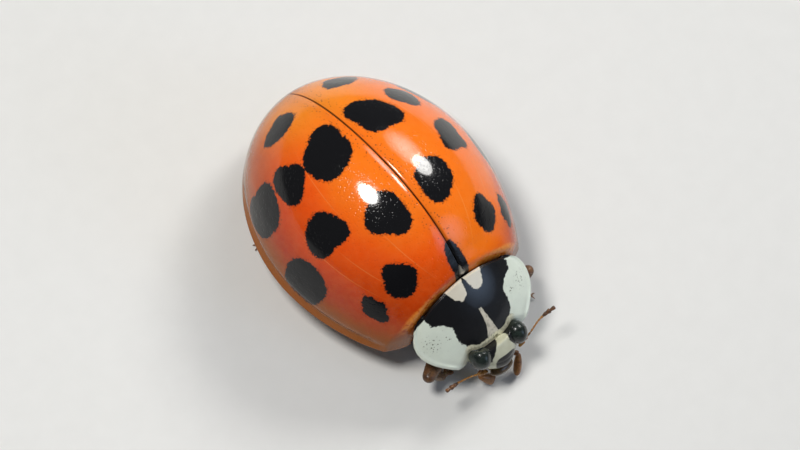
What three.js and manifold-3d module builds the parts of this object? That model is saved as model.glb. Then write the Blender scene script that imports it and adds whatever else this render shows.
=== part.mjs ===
// A harlequin ladybird beetle, life size, standing at rest with its wing cases closed.
// Millimetres, +Z up, head towards -Y, the beetle's left side towards +X, feet on the plane Z = 0.

import * as THREE from "three";
import { mergeVertices } from "three/addons/utils/BufferGeometryUtils.js";
import Module from "manifold-3d";

const wasm = await Module();
wasm.setup();

// ---- Driving dimensions, in millimetres unless named a share ----

const PART_GAP = 0.03; // clear space between two neighbouring parts
const CUTTER_SIZE = 20; // edge of the block that trims a part to a plane
const WELD_DISTANCE = 1e-5; // vertices closer than this are one vertex
const POLE_RING = 1e-9; // a ring of a unit sphere smaller than this is its pole

const RIM_HEIGHT = 0.95; // lower edge of the wing cases above the floor
const BASE_Y = -1.9; // where the wing cases begin, behind the pronotum
const WAIST_Y = -0.1; // seam between thorax and abdomen
const BELLY_DROP = 0.15; // belly below the rim plane

const WING_CASE = {
  length: 5.78,
  halfWidth: 2.59,
  height: 2.92, // crest above the rim
  thickness: 0.45,
  rimRoll: 0.12, // how far the rim turns under
  baseRound: 0.025, // share of the length over which the base edge rounds off
  openStart: -0.07, // share at which the inner domes begin, so that they open forwards
};

// The dome's two outlines, with peaks and reaches as shares of its length measured from the base.
const PLAN = { peak: 0.439, frontReach: 0.22, frontPower: 1.817, rearPower: 1.976 };
const PROFILE = { peak: 0.414, frontReach: 0.075, frontPower: 2.1, rearPower: 2.1 };

const PRONOTUM = {
  baseY: BASE_Y - 0.055,
  frontY: BASE_Y - 1.225,
  baseZ: RIM_HEIGHT + 1.6,
  frontZ: RIM_HEIGHT + 0.4,
  evenFall: 0.62, // share of the fall that is straight, the rest steepens forwards
  archRadius: 2.1,
  halfWidth: 1.53,
  widestAt: 0.3, // share of its length, from the base
  rearReach: 0.56,
  frontReach: 0.893,
  sidePower: 2.2,
  thickness: 0.42,
  edgePower: 5,
};

const SCUTELLUM = { halfWidth: 0.17, length: 0.25, depth: 0.6 };

const HEAD = {
  centre: [0, -2.98, 1.0],
  radii: [0.64, 0.47, 0.6],
  faceTilt: THREE.MathUtils.degToRad(30),
  roll: THREE.MathUtils.degToRad(8), // the head leans, its left side lower
  rollHeight: 1.1,
  neckY: -2.86,
};
const EYE = { centre: [0.52, -3.27, 1.25], radii: [0.24, 0.25, 0.27] };
const LABRUM = { centre: [0, -3.48, 0.56], radii: [0.33, 0.16, 0.17] };
const PALP = { base: [0.29, -3.28, 0.4], tip: [0.36, -3.66, 0.2], width: 0.36, thickness: 0.3, overshoot: 0.09 };

const ANTENNA = {
  stemRadius: 0.21,
  stemQuarter: 4, // half the number of sides of the stem
  stemSteps: 6,
  clubRadius: 0.24,
  left: [[0.67, -3.46, 0.88], [1.09, -3.46, 1.06], [1.44, -3.36, 1.17]],
  right: [[-0.65, -3.46, 0.72], [-1.02, -3.46, 0.88], [-1.34, -3.41, 0.96]],
};

const PROTHORAX = { centre: [0, -2.4, 1.52], radii: [1.2, 0.85, 0.72] };

const LEG = {
  hipHeight: 0.56,
  ankleHeight: 0.19,
  soleAxisHeight: 0.13,
  hipRadii: [0.27, 0.27, 0.38],
  hipReach: 0.16,
  femur: { width: 0.5, thickness: 0.42 },
  tibia: { width: 0.42, thickness: 0.42 },
  tarsus: { width: 0.45, thickness: 0.4, overshoot: 0.11 },
};

// Hip, ankle and toe of each leg as [x, y], and its knee as [x, y, z].
const STANCE = {
  front_left: { hip: [0.55, -2.33], knee: [1.64, -2.3, 0.76], ankle: [1.27, -2.27], toe: [1.72, -2.62] },
  front_right: { hip: [-0.55, -2.33], knee: [-1.45, -2.78, 0.74], ankle: [-0.88, -2.8], toe: [-0.44, -2.98] },
  middle_left: { hip: [0.75, -1.25], knee: [1.85, -1.0, 0.58], ankle: [1.48, -0.45], toe: [1.98, -0.2] },
  middle_right: { hip: [-0.75, -1.25], knee: [-1.8, -1.05, 0.58], ankle: [-1.4, -0.5], toe: [-1.86, -0.28] },
  hind_left: { hip: [0.6, -0.35], knee: [1.75, 0.72, 0.58], ankle: [1.6, 1.62], toe: [2.05, 1.92] },
  hind_right: { hip: [-0.6, -0.35], knee: [-1.8, 0.8, 0.58], ankle: [-1.68, 1.82], toe: [-2.22, 1.99] },
};

const SIDES = { left: 1, right: -1 };

const FINISH = {
  wingCase: { color: 0xf4690f, roughness: 0.18 },
  pronotum: { color: 0xe4e4d2, roughness: 0.25 },
  scutellum: { color: 0x8f897a, roughness: 0.4 },
  head: { color: 0xd6cfb4, roughness: 0.35 },
  eye: { color: 0x15201d, roughness: 0.15 },
  mouth: { color: 0x8a4a17, roughness: 0.35 },
  antenna: { color: 0xa8611f, roughness: 0.4 },
  leg: { color: 0x6a3a1d, roughness: 0.45 },
  thorax: { color: 0x1d1713, roughness: 0.5 },
  abdomen: { color: 0x9c5520, roughness: 0.5 },
};

const FORWARD = new THREE.Vector3(0, -1, 0);
const BACKWARD = new THREE.Vector3(0, 1, 0);
const UP = new THREE.Vector3(0, 0, 1);

// ---- From geometry to solids and back ----

function toSolid(geometry) {
  const bare = geometry.clone();
  bare.deleteAttribute("normal");
  bare.deleteAttribute("uv");
  const welded = mergeVertices(bare, WELD_DISTANCE);
  const triVerts = dropSlivers(welded.index.array);
  const vertProperties = new Float32Array(welded.attributes.position.array);
  return new wasm.Manifold(new wasm.Mesh({ numProp: 3, vertProperties, triVerts }));
}

// Triangles that fold into a line when their corners are welded are left out.
function dropSlivers(index) {
  const kept = [];
  for (let i = 0; i < index.length; i += 3) {
    const [a, b, c] = [index[i], index[i + 1], index[i + 2]];
    if (a !== b && b !== c && c !== a) {
      kept.push(a, b, c);
    }
  }
  return new Uint32Array(kept);
}

function toMesh(name, solid, finish) {
  const { vertProperties, triVerts } = solid.getMesh();
  const geometry = new THREE.BufferGeometry();
  geometry.setAttribute("position", new THREE.BufferAttribute(vertProperties, 3));
  geometry.setIndex(new THREE.BufferAttribute(triVerts, 1));
  geometry.computeVertexNormals();
  const mesh = new THREE.Mesh(geometry, new THREE.MeshStandardMaterial({ ...finish, metalness: 0 }));
  mesh.name = name;
  return mesh;
}

// Keeps what lies on the side of a plane that its normal points to.
function keepSide(solid, point, normal) {
  const block = new THREE.BoxGeometry(CUTTER_SIZE, CUTTER_SIZE, CUTTER_SIZE);
  block.translate(0, 0, -CUTTER_SIZE / 2);
  block.applyQuaternion(new THREE.Quaternion().setFromUnitVectors(UP, normal));
  block.translate(point.x, point.y, point.z);
  return solid.subtract(toSolid(block));
}

function behind(solid, y) {
  return keepSide(solid, new THREE.Vector3(0, y, 0), BACKWARD);
}

function ahead(solid, y) {
  return keepSide(solid, new THREE.Vector3(0, y, 0), FORWARD);
}

// ---- Rounded forms: a unit sphere, poles along Y, with each point moved by a function ----

function mouldedSphere(segments, rings, move) {
  const geometry = new THREE.SphereGeometry(1, segments, rings);
  const position = geometry.attributes.position;
  const point = new THREE.Vector3();
  for (let i = 0; i < position.count; i++) {
    point.fromBufferAttribute(position, i);
    move(point);
    position.setXYZ(i, point.x, point.y, point.z);
  }
  return geometry;
}

function ellipsoid(centre, radii, { grow = 0, segments = 16, rings = 12, tilt = 0 } = {}) {
  const geometry = new THREE.SphereGeometry(1, segments, rings);
  geometry.scale(radii[0] + grow, radii[1] + grow, radii[2] + grow);
  geometry.rotateX(tilt);
  geometry.translate(...centre);
  return geometry;
}

// ---- The dome of the wing cases ----

// Height of an egg-shaped curve that rises from ahead of the base to its peak and falls to the tip.
function eggCurve(share, { peak, frontReach, frontPower, rearPower }) {
  const before = share < peak;
  const away = before ? (peak - share) / (peak + frontReach) : (share - peak) / (1 - peak);
  const power = before ? frontPower : rearPower;
  return Math.max(1 - away ** power, 0) ** (1 / power);
}

// How full the dome is near its base, where the edge rounds off.
function baseFullness(share) {
  const short = Math.min(share / WING_CASE.baseRound, 1);
  return (1 - (1 - short) ** 3) ** (1 / 3);
}

// The closed dome, grown by a distance (or shrunk, where it is negative), with a rounded underside.
function dome({ grow = 0, underside, rounded = false, segments = 38, rings = 24 }) {
  const widthScale = WING_CASE.halfWidth + grow;
  const heightScale = WING_CASE.height + grow;
  const peakY = BASE_Y + PLAN.peak * WING_CASE.length;
  const lengthScale = 1 + grow / ((1 - PLAN.peak) * WING_CASE.length);
  const start = rounded ? 0 : WING_CASE.openStart;
  const geometry = mouldedSphere(segments, rings, (point) => {
    const share = THREE.MathUtils.lerp(start, 1, (point.y + 1) / 2);
    const ring = Math.hypot(point.x, point.z);
    const fullness = ring < POLE_RING ? 0 : (rounded ? baseFullness(share) : 1) / ring;
    const plan = eggCurve(share, PLAN);
    const height = point.z > 0 ? heightScale * eggCurve(share, PROFILE) : underside * plan;
    const restY = BASE_Y + share * WING_CASE.length;
    point.x *= widthScale * plan * fullness;
    point.z = RIM_HEIGHT + point.z * height * fullness;
    point.y = peakY + (restY - peakY) * lengthScale;
  });
  return toSolid(geometry);
}

// The small triangle between the wing cases at their base, as a wedge that cuts through them.
function scutellumWedge(grow) {
  const { halfWidth, length, depth } = SCUTELLUM;
  const outline = new THREE.Shape();
  outline.moveTo(-halfWidth - grow, 0);
  outline.lineTo(halfWidth + grow, 0);
  outline.lineTo(0, length + grow);
  outline.closePath();
  const geometry = new THREE.ExtrudeGeometry(outline, { depth: depth + grow, bevelEnabled: false });
  geometry.translate(0, BASE_Y, PRONOTUM.baseZ - 0.75 * depth - grow);
  return toSolid(geometry);
}

function placeWingCases(place) {
  const outer = dome({ underside: WING_CASE.rimRoll, rounded: true });
  const hollow = dome({ grow: -WING_CASE.thickness, underside: WING_CASE.height });
  const shell = outer.subtract(hollow);
  for (const [side, sign] of Object.entries(SIDES)) {
    const seam = new THREE.Vector3((sign * PART_GAP) / 2, 0, 0);
    const half = keepSide(shell, seam, new THREE.Vector3(sign, 0, 0));
    place(`wing_case_${side}`, half.subtract(scutellumWedge(PART_GAP)), FINISH.wingCase);
  }
  place("scutellum", shell.intersect(scutellumWedge(0)), FINISH.scutellum);
}

// ---- The shield behind the head ----

function shieldHeight(x, y) {
  const { baseY, frontY, baseZ, frontZ, evenFall, archRadius } = PRONOTUM;
  const share = (baseY - y) / (baseY - frontY);
  const fall = evenFall * share + (1 - evenFall) * share * share;
  const arch = archRadius - Math.sqrt(Math.max(archRadius ** 2 - x * x, 0));
  return baseZ + (frontZ - baseZ) * fall - arch;
}

// Half width of the shield at a share of its length, from the base (0) to the front corners (1).
function shieldHalfWidth(share) {
  const { widestAt, rearReach, frontReach, sidePower, halfWidth } = PRONOTUM;
  const reach = share < widestAt ? rearReach : frontReach;
  const away = Math.abs(share - widestAt) / reach;
  return halfWidth * Math.sqrt(Math.max(1 - away ** sidePower, 0));
}

// A plate draped over the arch. The rise lifts its upper face, to make a cutter of it.
function shield({ grow = 0, rise = 0 }) {
  const { baseY, frontY, thickness, edgePower } = PRONOTUM;
  const length = baseY - frontY;
  const geometry = mouldedSphere(24, 16, (point) => {
    const radius = Math.min(Math.hypot(point.x, point.y), 1);
    const share = (1 - point.y) / 2;
    const ring = Math.hypot(point.x, point.z);
    const across = ring < POLE_RING ? 0 : point.x / ring;
    const x = across * (shieldHalfWidth(share) + grow);
    const y = baseY + grow - share * (length + 2 * grow);
    const half = (thickness / 2 + grow) * (1 - radius ** edgePower) ** (1 / edgePower);
    const lift = point.z > 0 ? half * (1 + rise / thickness) : -half;
    point.set(x, y, shieldHeight(x, y) - thickness / 2 + lift);
  });
  return toSolid(geometry);
}

// Everything above the lower face of the pronotum, with the gap that its neighbours keep.
function overShield() {
  return shield({ grow: PART_GAP, rise: WING_CASE.height });
}

// ---- Trunk ----

function placeTrunk(place, legs) {
  const inside = -WING_CASE.thickness - PART_GAP;
  const trunk = dome({ grow: inside, underside: BELLY_DROP, segments: 24, rings: 16 });
  let thorax = ahead(behind(trunk, BASE_Y + PART_GAP), WAIST_Y);
  let prothorax = toSolid(ellipsoid(PROTHORAX.centre, PROTHORAX.radii));
  prothorax = behind(ahead(prothorax, BASE_Y), HEAD.neckY + PART_GAP).subtract(overShield());
  for (const [name, joints] of legs) {
    if (name.startsWith("front")) {
      prothorax = prothorax.add(hipKnob(joints));
    } else {
      thorax = thorax.add(hipKnob(joints));
    }
  }
  place("pronotum", shield({}), FINISH.pronotum);
  place("prothorax", prothorax, FINISH.thorax);
  place("thorax", thorax, FINISH.thorax);
  place("abdomen", behind(trunk, WAIST_Y + PART_GAP), FINISH.abdomen);
}

// ---- Head ----

function mirrored(point, sign) {
  return [sign * point[0], point[1], point[2]];
}

// Leans a head part with the head, about a line along the body.
function rolled(geometry) {
  geometry.translate(0, 0, -HEAD.rollHeight);
  geometry.rotateY(HEAD.roll);
  geometry.translate(0, 0, HEAD.rollHeight);
  return toSolid(geometry);
}

function eyeBall(sign, grow) {
  return rolled(ellipsoid(mirrored(EYE.centre, sign), EYE.radii, { grow, segments: 14, rings: 8 }));
}

function labrumBall(grow) {
  return rolled(ellipsoid(LABRUM.centre, LABRUM.radii, { grow, segments: 12, rings: 8 }));
}

function palp(sign, grow) {
  const base = new THREE.Vector3(...mirrored(PALP.base, sign));
  const tip = new THREE.Vector3(...mirrored(PALP.tip, sign));
  const width = PALP.width + 2 * grow;
  const thickness = PALP.thickness + 2 * grow;
  return rolled(spindle(base, tip, { width, thickness, overshoot: PALP.overshoot + grow }));
}

function antenna(points) {
  const path = new THREE.CatmullRomCurve3(points.map((point) => new THREE.Vector3(...point)));
  const section = new THREE.Shape();
  section.absarc(0, 0, ANTENNA.stemRadius, 0, 2 * Math.PI);
  const stem = new THREE.ExtrudeGeometry(section, {
    steps: ANTENNA.stemSteps,
    curveSegments: ANTENNA.stemQuarter,
    extrudePath: path,
  });
  const clubRadii = Array(3).fill(ANTENNA.clubRadius);
  const club = ellipsoid(points.at(-1), clubRadii, { segments: 10, rings: 6 });
  return toSolid(stem).add(toSolid(club));
}

function placeHead(place) {
  const roof = overShield();
  const skull = { segments: 20, rings: 14, tilt: HEAD.faceTilt };
  let head = ahead(rolled(ellipsoid(HEAD.centre, HEAD.radii, skull)), HEAD.neckY);
  head = head.subtract(roof).subtract(labrumBall(PART_GAP));
  for (const [side, sign] of Object.entries(SIDES)) {
    const socket = eyeBall(sign, PART_GAP);
    head = head.subtract(socket).subtract(palp(sign, PART_GAP));
    place(`eye_${side}`, eyeBall(sign, 0).subtract(roof), FINISH.eye);
    place(`antenna_${side}`, antenna(ANTENNA[side]).subtract(socket), FINISH.antenna);
    place(`palp_${side}`, palp(sign, 0), FINISH.mouth);
  }
  place("head", head, FINISH.head);
  place("labrum", labrumBall(0), FINISH.mouth);
}

// ---- Limbs: a blunt spindle from one joint to the next, parted from its neighbours by planes ----

function spindle(from, to, { width, thickness, overshoot = width / 2 }) {
  const along = new THREE.Vector3().subVectors(to, from);
  const length = along.length() + 2 * overshoot;
  const geometry = mouldedSphere(8, 6, (point) => {
    const ring = Math.max(Math.hypot(point.x, point.z), POLE_RING);
    const girth = Math.max(1 - Math.abs(point.y) ** 3, 0) ** (1 / 3);
    point.x *= (girth * width) / 2 / ring;
    point.z *= (girth * thickness) / 2 / ring;
    point.y *= length / 2;
  });
  const forward = along.normalize();
  const sideways = new THREE.Vector3().crossVectors(forward, UP).normalize();
  const upward = new THREE.Vector3().crossVectors(sideways, forward);
  const placement = new THREE.Matrix4().makeBasis(sideways, forward, upward);
  placement.setPosition(new THREE.Vector3().addVectors(from, to).multiplyScalar(0.5));
  return geometry.applyMatrix4(placement);
}

function direction(from, to) {
  return new THREE.Vector3().subVectors(to, from).normalize();
}

// Trims two limbs that meet at a joint to the plane that halves their bend.
function mitre(before, after, joint, inward, outward) {
  const normal = new THREE.Vector3().addVectors(inward, outward).normalize();
  const nearPoint = joint.clone().addScaledVector(normal, -PART_GAP / 2);
  const farPoint = joint.clone().addScaledVector(normal, PART_GAP / 2);
  return [keepSide(before, nearPoint, normal.clone().negate()), keepSide(after, farPoint, normal)];
}

function legJoints({ hip, knee, ankle, toe }) {
  return {
    hip: new THREE.Vector3(hip[0], hip[1], LEG.hipHeight),
    knee: new THREE.Vector3(...knee),
    ankle: new THREE.Vector3(ankle[0], ankle[1], LEG.ankleHeight),
    toe: new THREE.Vector3(toe[0], toe[1], LEG.soleAxisHeight),
  };
}

// The rounded hip that a leg turns in, part of the thorax.
function hipKnob({ hip, knee }) {
  const thigh = direction(hip, knee);
  const knob = toSolid(ellipsoid(hip.toArray(), LEG.hipRadii, { segments: 10, rings: 6 }));
  const face = hip.clone().addScaledVector(thigh, LEG.hipReach);
  return keepSide(knob, face, thigh.clone().negate());
}

function legSolids({ hip, knee, ankle, toe }) {
  const thigh = direction(hip, knee);
  const shin = direction(knee, ankle);
  const foot = direction(ankle, toe);
  const hipFace = hip.clone().addScaledVector(thigh, LEG.hipReach + PART_GAP);
  let femur = keepSide(toSolid(spindle(hip, knee, LEG.femur)), hipFace, thigh);
  let tibia = toSolid(spindle(knee, ankle, LEG.tibia));
  let tarsus = toSolid(spindle(ankle, toe, LEG.tarsus));
  [femur, tibia] = mitre(femur, tibia, knee, thigh, shin);
  [tibia, tarsus] = mitre(tibia, tarsus, ankle, shin, foot);
  tarsus = keepSide(tarsus, new THREE.Vector3(), UP);
  return { femur, tibia, tarsus };
}

function placeLegs(place, legs) {
  for (const [name, joints] of legs) {
    for (const [piece, solid] of Object.entries(legSolids(joints))) {
      place(`${piece}_${name}`, solid, FINISH.leg);
    }
  }
}

// ---- Assembly ----

function buildLadybird() {
  const ladybird = new THREE.Group();
  const place = (name, solid, finish) => ladybird.add(toMesh(name, solid, finish));
  const legs = Object.entries(STANCE).map(([name, stance]) => [name, legJoints(stance)]);
  placeWingCases(place);
  placeTrunk(place, legs);
  placeHead(place);
  placeLegs(place, legs);
  return ladybird;
}

export default buildLadybird();
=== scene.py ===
"""A harlequin ladybird beetle, life size, standing at rest with its wing cases closed.

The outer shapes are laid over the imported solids. Every piece is worked on the bench in
millimetres, head towards -Y and feet on Z = 0, and is set down in metres when it is finished.
"""

import logging
import math
import random
from collections.abc import Callable, Iterator, Sequence
from contextlib import contextmanager
from dataclasses import dataclass, field
from enum import Enum, IntEnum
from itertools import pairwise

import bmesh
import bpy
from mathutils import Matrix, Vector


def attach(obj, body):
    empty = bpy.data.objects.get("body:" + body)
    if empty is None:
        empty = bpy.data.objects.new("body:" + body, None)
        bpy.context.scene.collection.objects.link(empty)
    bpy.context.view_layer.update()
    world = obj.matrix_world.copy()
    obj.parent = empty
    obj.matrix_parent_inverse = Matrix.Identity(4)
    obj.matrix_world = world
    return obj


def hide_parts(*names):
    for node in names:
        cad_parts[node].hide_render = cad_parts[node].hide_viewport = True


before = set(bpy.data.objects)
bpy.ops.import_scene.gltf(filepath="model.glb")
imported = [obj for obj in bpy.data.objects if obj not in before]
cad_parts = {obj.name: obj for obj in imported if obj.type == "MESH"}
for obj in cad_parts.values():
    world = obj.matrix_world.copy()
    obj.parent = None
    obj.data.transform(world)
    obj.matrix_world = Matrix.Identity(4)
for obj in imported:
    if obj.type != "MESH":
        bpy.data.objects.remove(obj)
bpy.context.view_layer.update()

LOG = logging.getLogger("ladybird")

MM = 0.001  # one millimetre in metres
MERGE_DISTANCE = 1e-5  # corners closer than this become one, in millimetres
BODY = "root"
SEED = 19  # of the hairs
MIRROR = Matrix.Scale(-1.0, 4, (1, 0, 0))  # swaps left and right
UPWARDS = Vector((0, 0, 1))
SOFT_EDGE = (-0.012, 0.014)  # how far either side of its line a marking fades, in millimetres

Triple = tuple[float, float, float]
Colour = tuple[float, float, float]


class Side(IntEnum):
    """A side of the beetle; its value is the sign of X there."""

    LEFT = 1
    RIGHT = -1

    @property
    def word(self) -> str:
        """Returns the side as it stands in names."""
        return self.name.lower()


# ---------------------------------------------------------------- small sums


def smooth(value: float, low: float, high: float) -> float:
    """Returns 0 below low, 1 above high and an even ease between them."""
    share = min(max((value - low) / (high - low), 0.0), 1.0)
    return share * share * (3.0 - 2.0 * share)


def hump(value: float, middle: float, spread: float) -> float:
    """Returns a bell of height 1 at the middle."""
    return math.exp(-(((value - middle) / spread) ** 2))


def along(table: Sequence[tuple[float, float]], at: float) -> float:
    """Reads a table of (place, value) pairs with a straight line between neighbours.

    Args:
        table: The pairs, in rising order of place.
        at: The place to read.

    Returns:
        The value there; the first or last value outside the table.
    """
    if at <= table[0][0]:
        return table[0][1]
    for (left, low), (right, high) in pairwise(table):
        if at <= right:
            return low + (high - low) * (at - left) / (right - left)
    return table[-1][1]


def stretched(unit: Vector, radii: Triple) -> Vector:
    """Returns a point of the unit sphere drawn out to an ellipsoid's half sizes."""
    return Vector([step * reach for step, reach in zip(unit, Vector(radii))])


def upright(start: Vector, end: Vector, up: Vector) -> Matrix:
    """Returns the placing that carries the Z axis from start towards end, its Y axis near up."""
    forward = (end - start).normalized()
    side = up.cross(forward).normalized()
    back = forward.cross(side)
    turn = Matrix((side, back, forward)).transposed().to_4x4()
    return Matrix.Translation(start) @ turn


# ---------------------------------------------------------------- the bench


class Start(Enum):
    """The primitives that a piece can start from."""

    SPHERE = "primitive_uv_sphere_add"
    DISC = "primitive_circle_add"
    GRID = "primitive_grid_add"
    CONE = "primitive_cone_add"


class Part(Enum):
    """What is picked in edit mode."""

    EDGES = "EDGE"
    FACES = "FACE"


def clear_hands() -> None:
    """Leaves edit mode and lets go of every object."""
    if bpy.context.object and bpy.context.object.mode != "OBJECT":
        bpy.ops.object.mode_set(mode="OBJECT")
    for held in list(bpy.context.selected_objects):
        held.select_set(False)


class Workpiece:
    """One mesh on the bench, worked in millimetres with the edit tools."""

    def __init__(self, name: str, start: Start, **sizes: object) -> None:
        """Adds the primitive that the piece starts from.

        Args:
            name: The piece's name.
            start: The primitive.
            **sizes: What its operator is given.
        """
        clear_hands()
        getattr(bpy.ops.mesh, start.value)(**sizes)
        self.obj = bpy.context.object
        self.obj.name = self.obj.data.name = name
        bpy.ops.object.transform_apply(location=True, rotation=True, scale=True)

    def hold(self) -> None:
        """Makes this the one selected and active object."""
        clear_hands()
        self.obj.select_set(True)
        bpy.context.view_layer.objects.active = self.obj

    @contextmanager
    def edited(self) -> Iterator[None]:
        """Opens the piece in edit mode with everything selected, and closes it again."""
        self.hold()
        bpy.ops.object.mode_set(mode="EDIT")
        bpy.ops.mesh.select_all(action="SELECT")
        yield
        bpy.ops.object.mode_set(mode="OBJECT")

    def pick(self, part: Part, test: Callable[[Vector], bool], rim_only: bool = False) -> None:
        """Selects the edges or faces whose middle passes a test, in edit mode.

        Args:
            part: What to select.
            test: Takes a middle point and says whether it is wanted.
            rim_only: Takes only open edges.
        """
        bpy.ops.mesh.select_mode(type=part.value)
        bpy.ops.mesh.select_all(action="DESELECT")
        web = bmesh.from_edit_mesh(self.obj.data)
        if part is Part.EDGES:
            for edge in web.edges:
                middle = (edge.verts[0].co + edge.verts[1].co) / 2
                edge.select = test(middle) and (edge.is_boundary or not rim_only)
        else:
            for face in web.faces:
                face.select = test(face.calc_center_median())
        web.select_flush_mode()
        bmesh.update_edit_mesh(self.obj.data)

    def mould(self, place: Callable[[Vector], Sequence[float]]) -> "Workpiece":
        """Presses every corner to the place that a function gives, and returns the piece."""
        for corner in self.obj.data.vertices:
            corner.co = place(corner.co.copy())
        self.obj.data.update()
        return self

    def bisected(self, point: Triple, normal: Triple, fill: bool = False) -> "Workpiece":
        """Cuts away what lies behind a plane, and returns the piece.

        Args:
            point: A point of the plane.
            normal: Points to the side that stays.
            fill: Closes the cut with a face.

        Returns:
            This piece.
        """
        with self.edited():
            bpy.ops.mesh.bisect(plane_co=point, plane_no=normal, clear_inner=True, use_fill=fill)
        return self

    def modified(self, kind: str, **settings: object) -> "Workpiece":
        """Adds a modifier, applies it and returns the piece."""
        self.hold()
        modifier = self.obj.modifiers.new(kind.title(), kind)
        for key, value in settings.items():
            setattr(modifier, key, value)
        bpy.ops.object.modifier_apply(modifier=modifier.name)
        return self

    def subdivided(self, levels: int = 1) -> "Workpiece":
        """Rounds the piece off with a subdivision surface, and returns it."""
        return self.modified("SUBSURF", levels=levels, render_levels=levels)

    def thickened(self, thickness: float, even: bool = True) -> "Workpiece":
        """Gives an open sheet its wall on the inside, and returns the piece."""
        return self.modified("SOLIDIFY", thickness=thickness, offset=-1.0, use_even_offset=even)

    def squared_up(self) -> "Workpiece":
        """Merges doubles, turns every face outwards and returns the piece."""
        with self.edited():
            bpy.ops.mesh.remove_doubles(threshold=MERGE_DISTANCE)
            bpy.ops.mesh.normals_make_consistent(inside=False)
        return self

    def placed(self, placing: Matrix) -> "Workpiece":
        """Moves the mesh by a placing and returns the piece."""
        self.obj.data.transform(placing)
        if placing.determinant() < 0:
            self.obj.data.flip_normals()
        return self

    def copied(self, name: str) -> "Workpiece":
        """Returns a second piece with a mesh of its own."""
        twin = object.__new__(Workpiece)
        twin.obj = self.obj.copy()
        twin.obj.data = self.obj.data.copy()
        twin.obj.name = twin.obj.data.name = name
        bpy.context.collection.objects.link(twin.obj)
        return twin

    def joined(self, others: Sequence["Workpiece"]) -> "Workpiece":
        """Joins other pieces into this one and returns it."""
        self.hold()
        for other in others:
            other.obj.select_set(True)
        bpy.ops.object.join()
        return self

    def thrown_away(self) -> None:
        """Removes a pattern that only copies were needed of."""
        bpy.data.objects.remove(self.obj, do_unlink=True)

    def set_down(self, finish: "Finish", slot: str, *nodes: str) -> None:
        """Scales the piece to metres, dresses it and sets it on the body.

        Args:
            finish: The finish that dresses it.
            slot: The record's material slot; not used.
            *nodes: The solids that it stands for.
        """
        self.obj.data.transform(Matrix.Scale(MM, 4))
        self.obj.data.materials.clear()
        self.obj.data.materials.append(finish.material())
        self.obj.data.shade_smooth()
        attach(self.obj, BODY)
        if nodes:
            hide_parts(*nodes)
        self.obj.data.calc_loop_triangles()
        LOG.info("%-28s %6d triangles", self.obj.name, len(self.obj.data.loop_triangles))


@dataclass(frozen=True)
class Station:
    """One section of a raised form: its height, half sizes and shift."""

    height: float
    wide: float
    deep: float
    x: float = 0.0
    y: float = 0.0


def raised(name: str, stations: Sequence[Station], sides: int = 10, levels: int = 1) -> Workpiece:
    """Raises a limb from a disc along +Z, one extrusion for each further station.

    Args:
        name: The piece's name.
        stations: Its sections from foot to head.
        sides: Corners of each section.
        levels: Subdivision levels that round it off.

    Returns:
        The closed piece.
    """
    first = stations[0]
    piece = Workpiece(name, Start.DISC, vertices=sides, radius=1.0, fill_type="NGON")
    with piece.edited():
        bpy.ops.transform.resize(value=(first.wide, first.deep, 1.0), center_override=(0, 0, 0))
        bpy.ops.transform.translate(value=(first.x, first.y, first.height))
        for low, high in pairwise(stations):
            step = (high.x - low.x, high.y - low.y, high.height - low.height)
            bpy.ops.mesh.extrude_region_move(TRANSFORM_OT_translate={"value": step})
            growth = (high.wide / low.wide, high.deep / low.deep, 1.0)
            middle = (high.x, high.y, high.height)
            bpy.ops.transform.resize(value=growth, center_override=middle)
        bpy.ops.mesh.select_all(action="SELECT")
        bpy.ops.mesh.normals_make_consistent(inside=False)
    return piece.subdivided(levels)


# ---------------------------------------------------------------- shader maths


class Wire:
    """A socket of a material that is used in arithmetic."""

    def __init__(self, board: "Board", socket: bpy.types.NodeSocket) -> None:
        """Keeps the board and the socket."""
        self.board = board
        self.socket = socket

    def __add__(self, other: "Wire | float") -> "Wire":
        """Returns the sum."""
        return self.board.sum("ADD", self, other)

    def __sub__(self, other: "Wire | float") -> "Wire":
        """Returns the difference."""
        return self.board.sum("SUBTRACT", self, other)

    def __rsub__(self, other: float) -> "Wire":
        """Returns the difference, the other way round."""
        return self.board.sum("SUBTRACT", other, self)

    def __mul__(self, other: "Wire | float") -> "Wire":
        """Returns the product."""
        return self.board.sum("MULTIPLY", self, other)

    def __truediv__(self, other: "Wire | float") -> "Wire":
        """Returns the quotient."""
        return self.board.sum("DIVIDE", self, other)

    def __rtruediv__(self, other: float) -> "Wire":
        """Returns the quotient, the other way round."""
        return self.board.sum("DIVIDE", other, self)

    def __neg__(self) -> "Wire":
        """Returns the value with its sign turned."""
        return self.board.sum("MULTIPLY", self, -1.0)

    def __pow__(self, power: float) -> "Wire":
        """Returns a power of the value."""
        return self.board.sum("POWER", self, power)

    def __abs__(self) -> "Wire":
        """Returns the value without its sign."""
        return self.board.sum("ABSOLUTE", self)

    __radd__ = __add__
    __rmul__ = __mul__

    def highest(self, other: "Wire | float") -> "Wire":
        """Returns the greater of two values."""
        return self.board.sum("MAXIMUM", self, other)

    def lowest(self, other: "Wire | float") -> "Wire":
        """Returns the smaller of two values."""
        return self.board.sum("MINIMUM", self, other)

    def rise(self, low: float, high: float) -> "Wire":
        """Returns 0 below low, 1 above high, with an ease between; low may be the greater."""
        return self.board.node(
            "ShaderNodeMapRange",
            {"interpolation_type": "SMOOTHSTEP"},
            {"Value": self, "From Min": low, "From Max": high},
        )

    def bell(self, middle: float, spread: float) -> "Wire":
        """Returns a bump of height 1 round the middle."""
        return abs(self - middle).rise(spread, 0.0)


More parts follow.
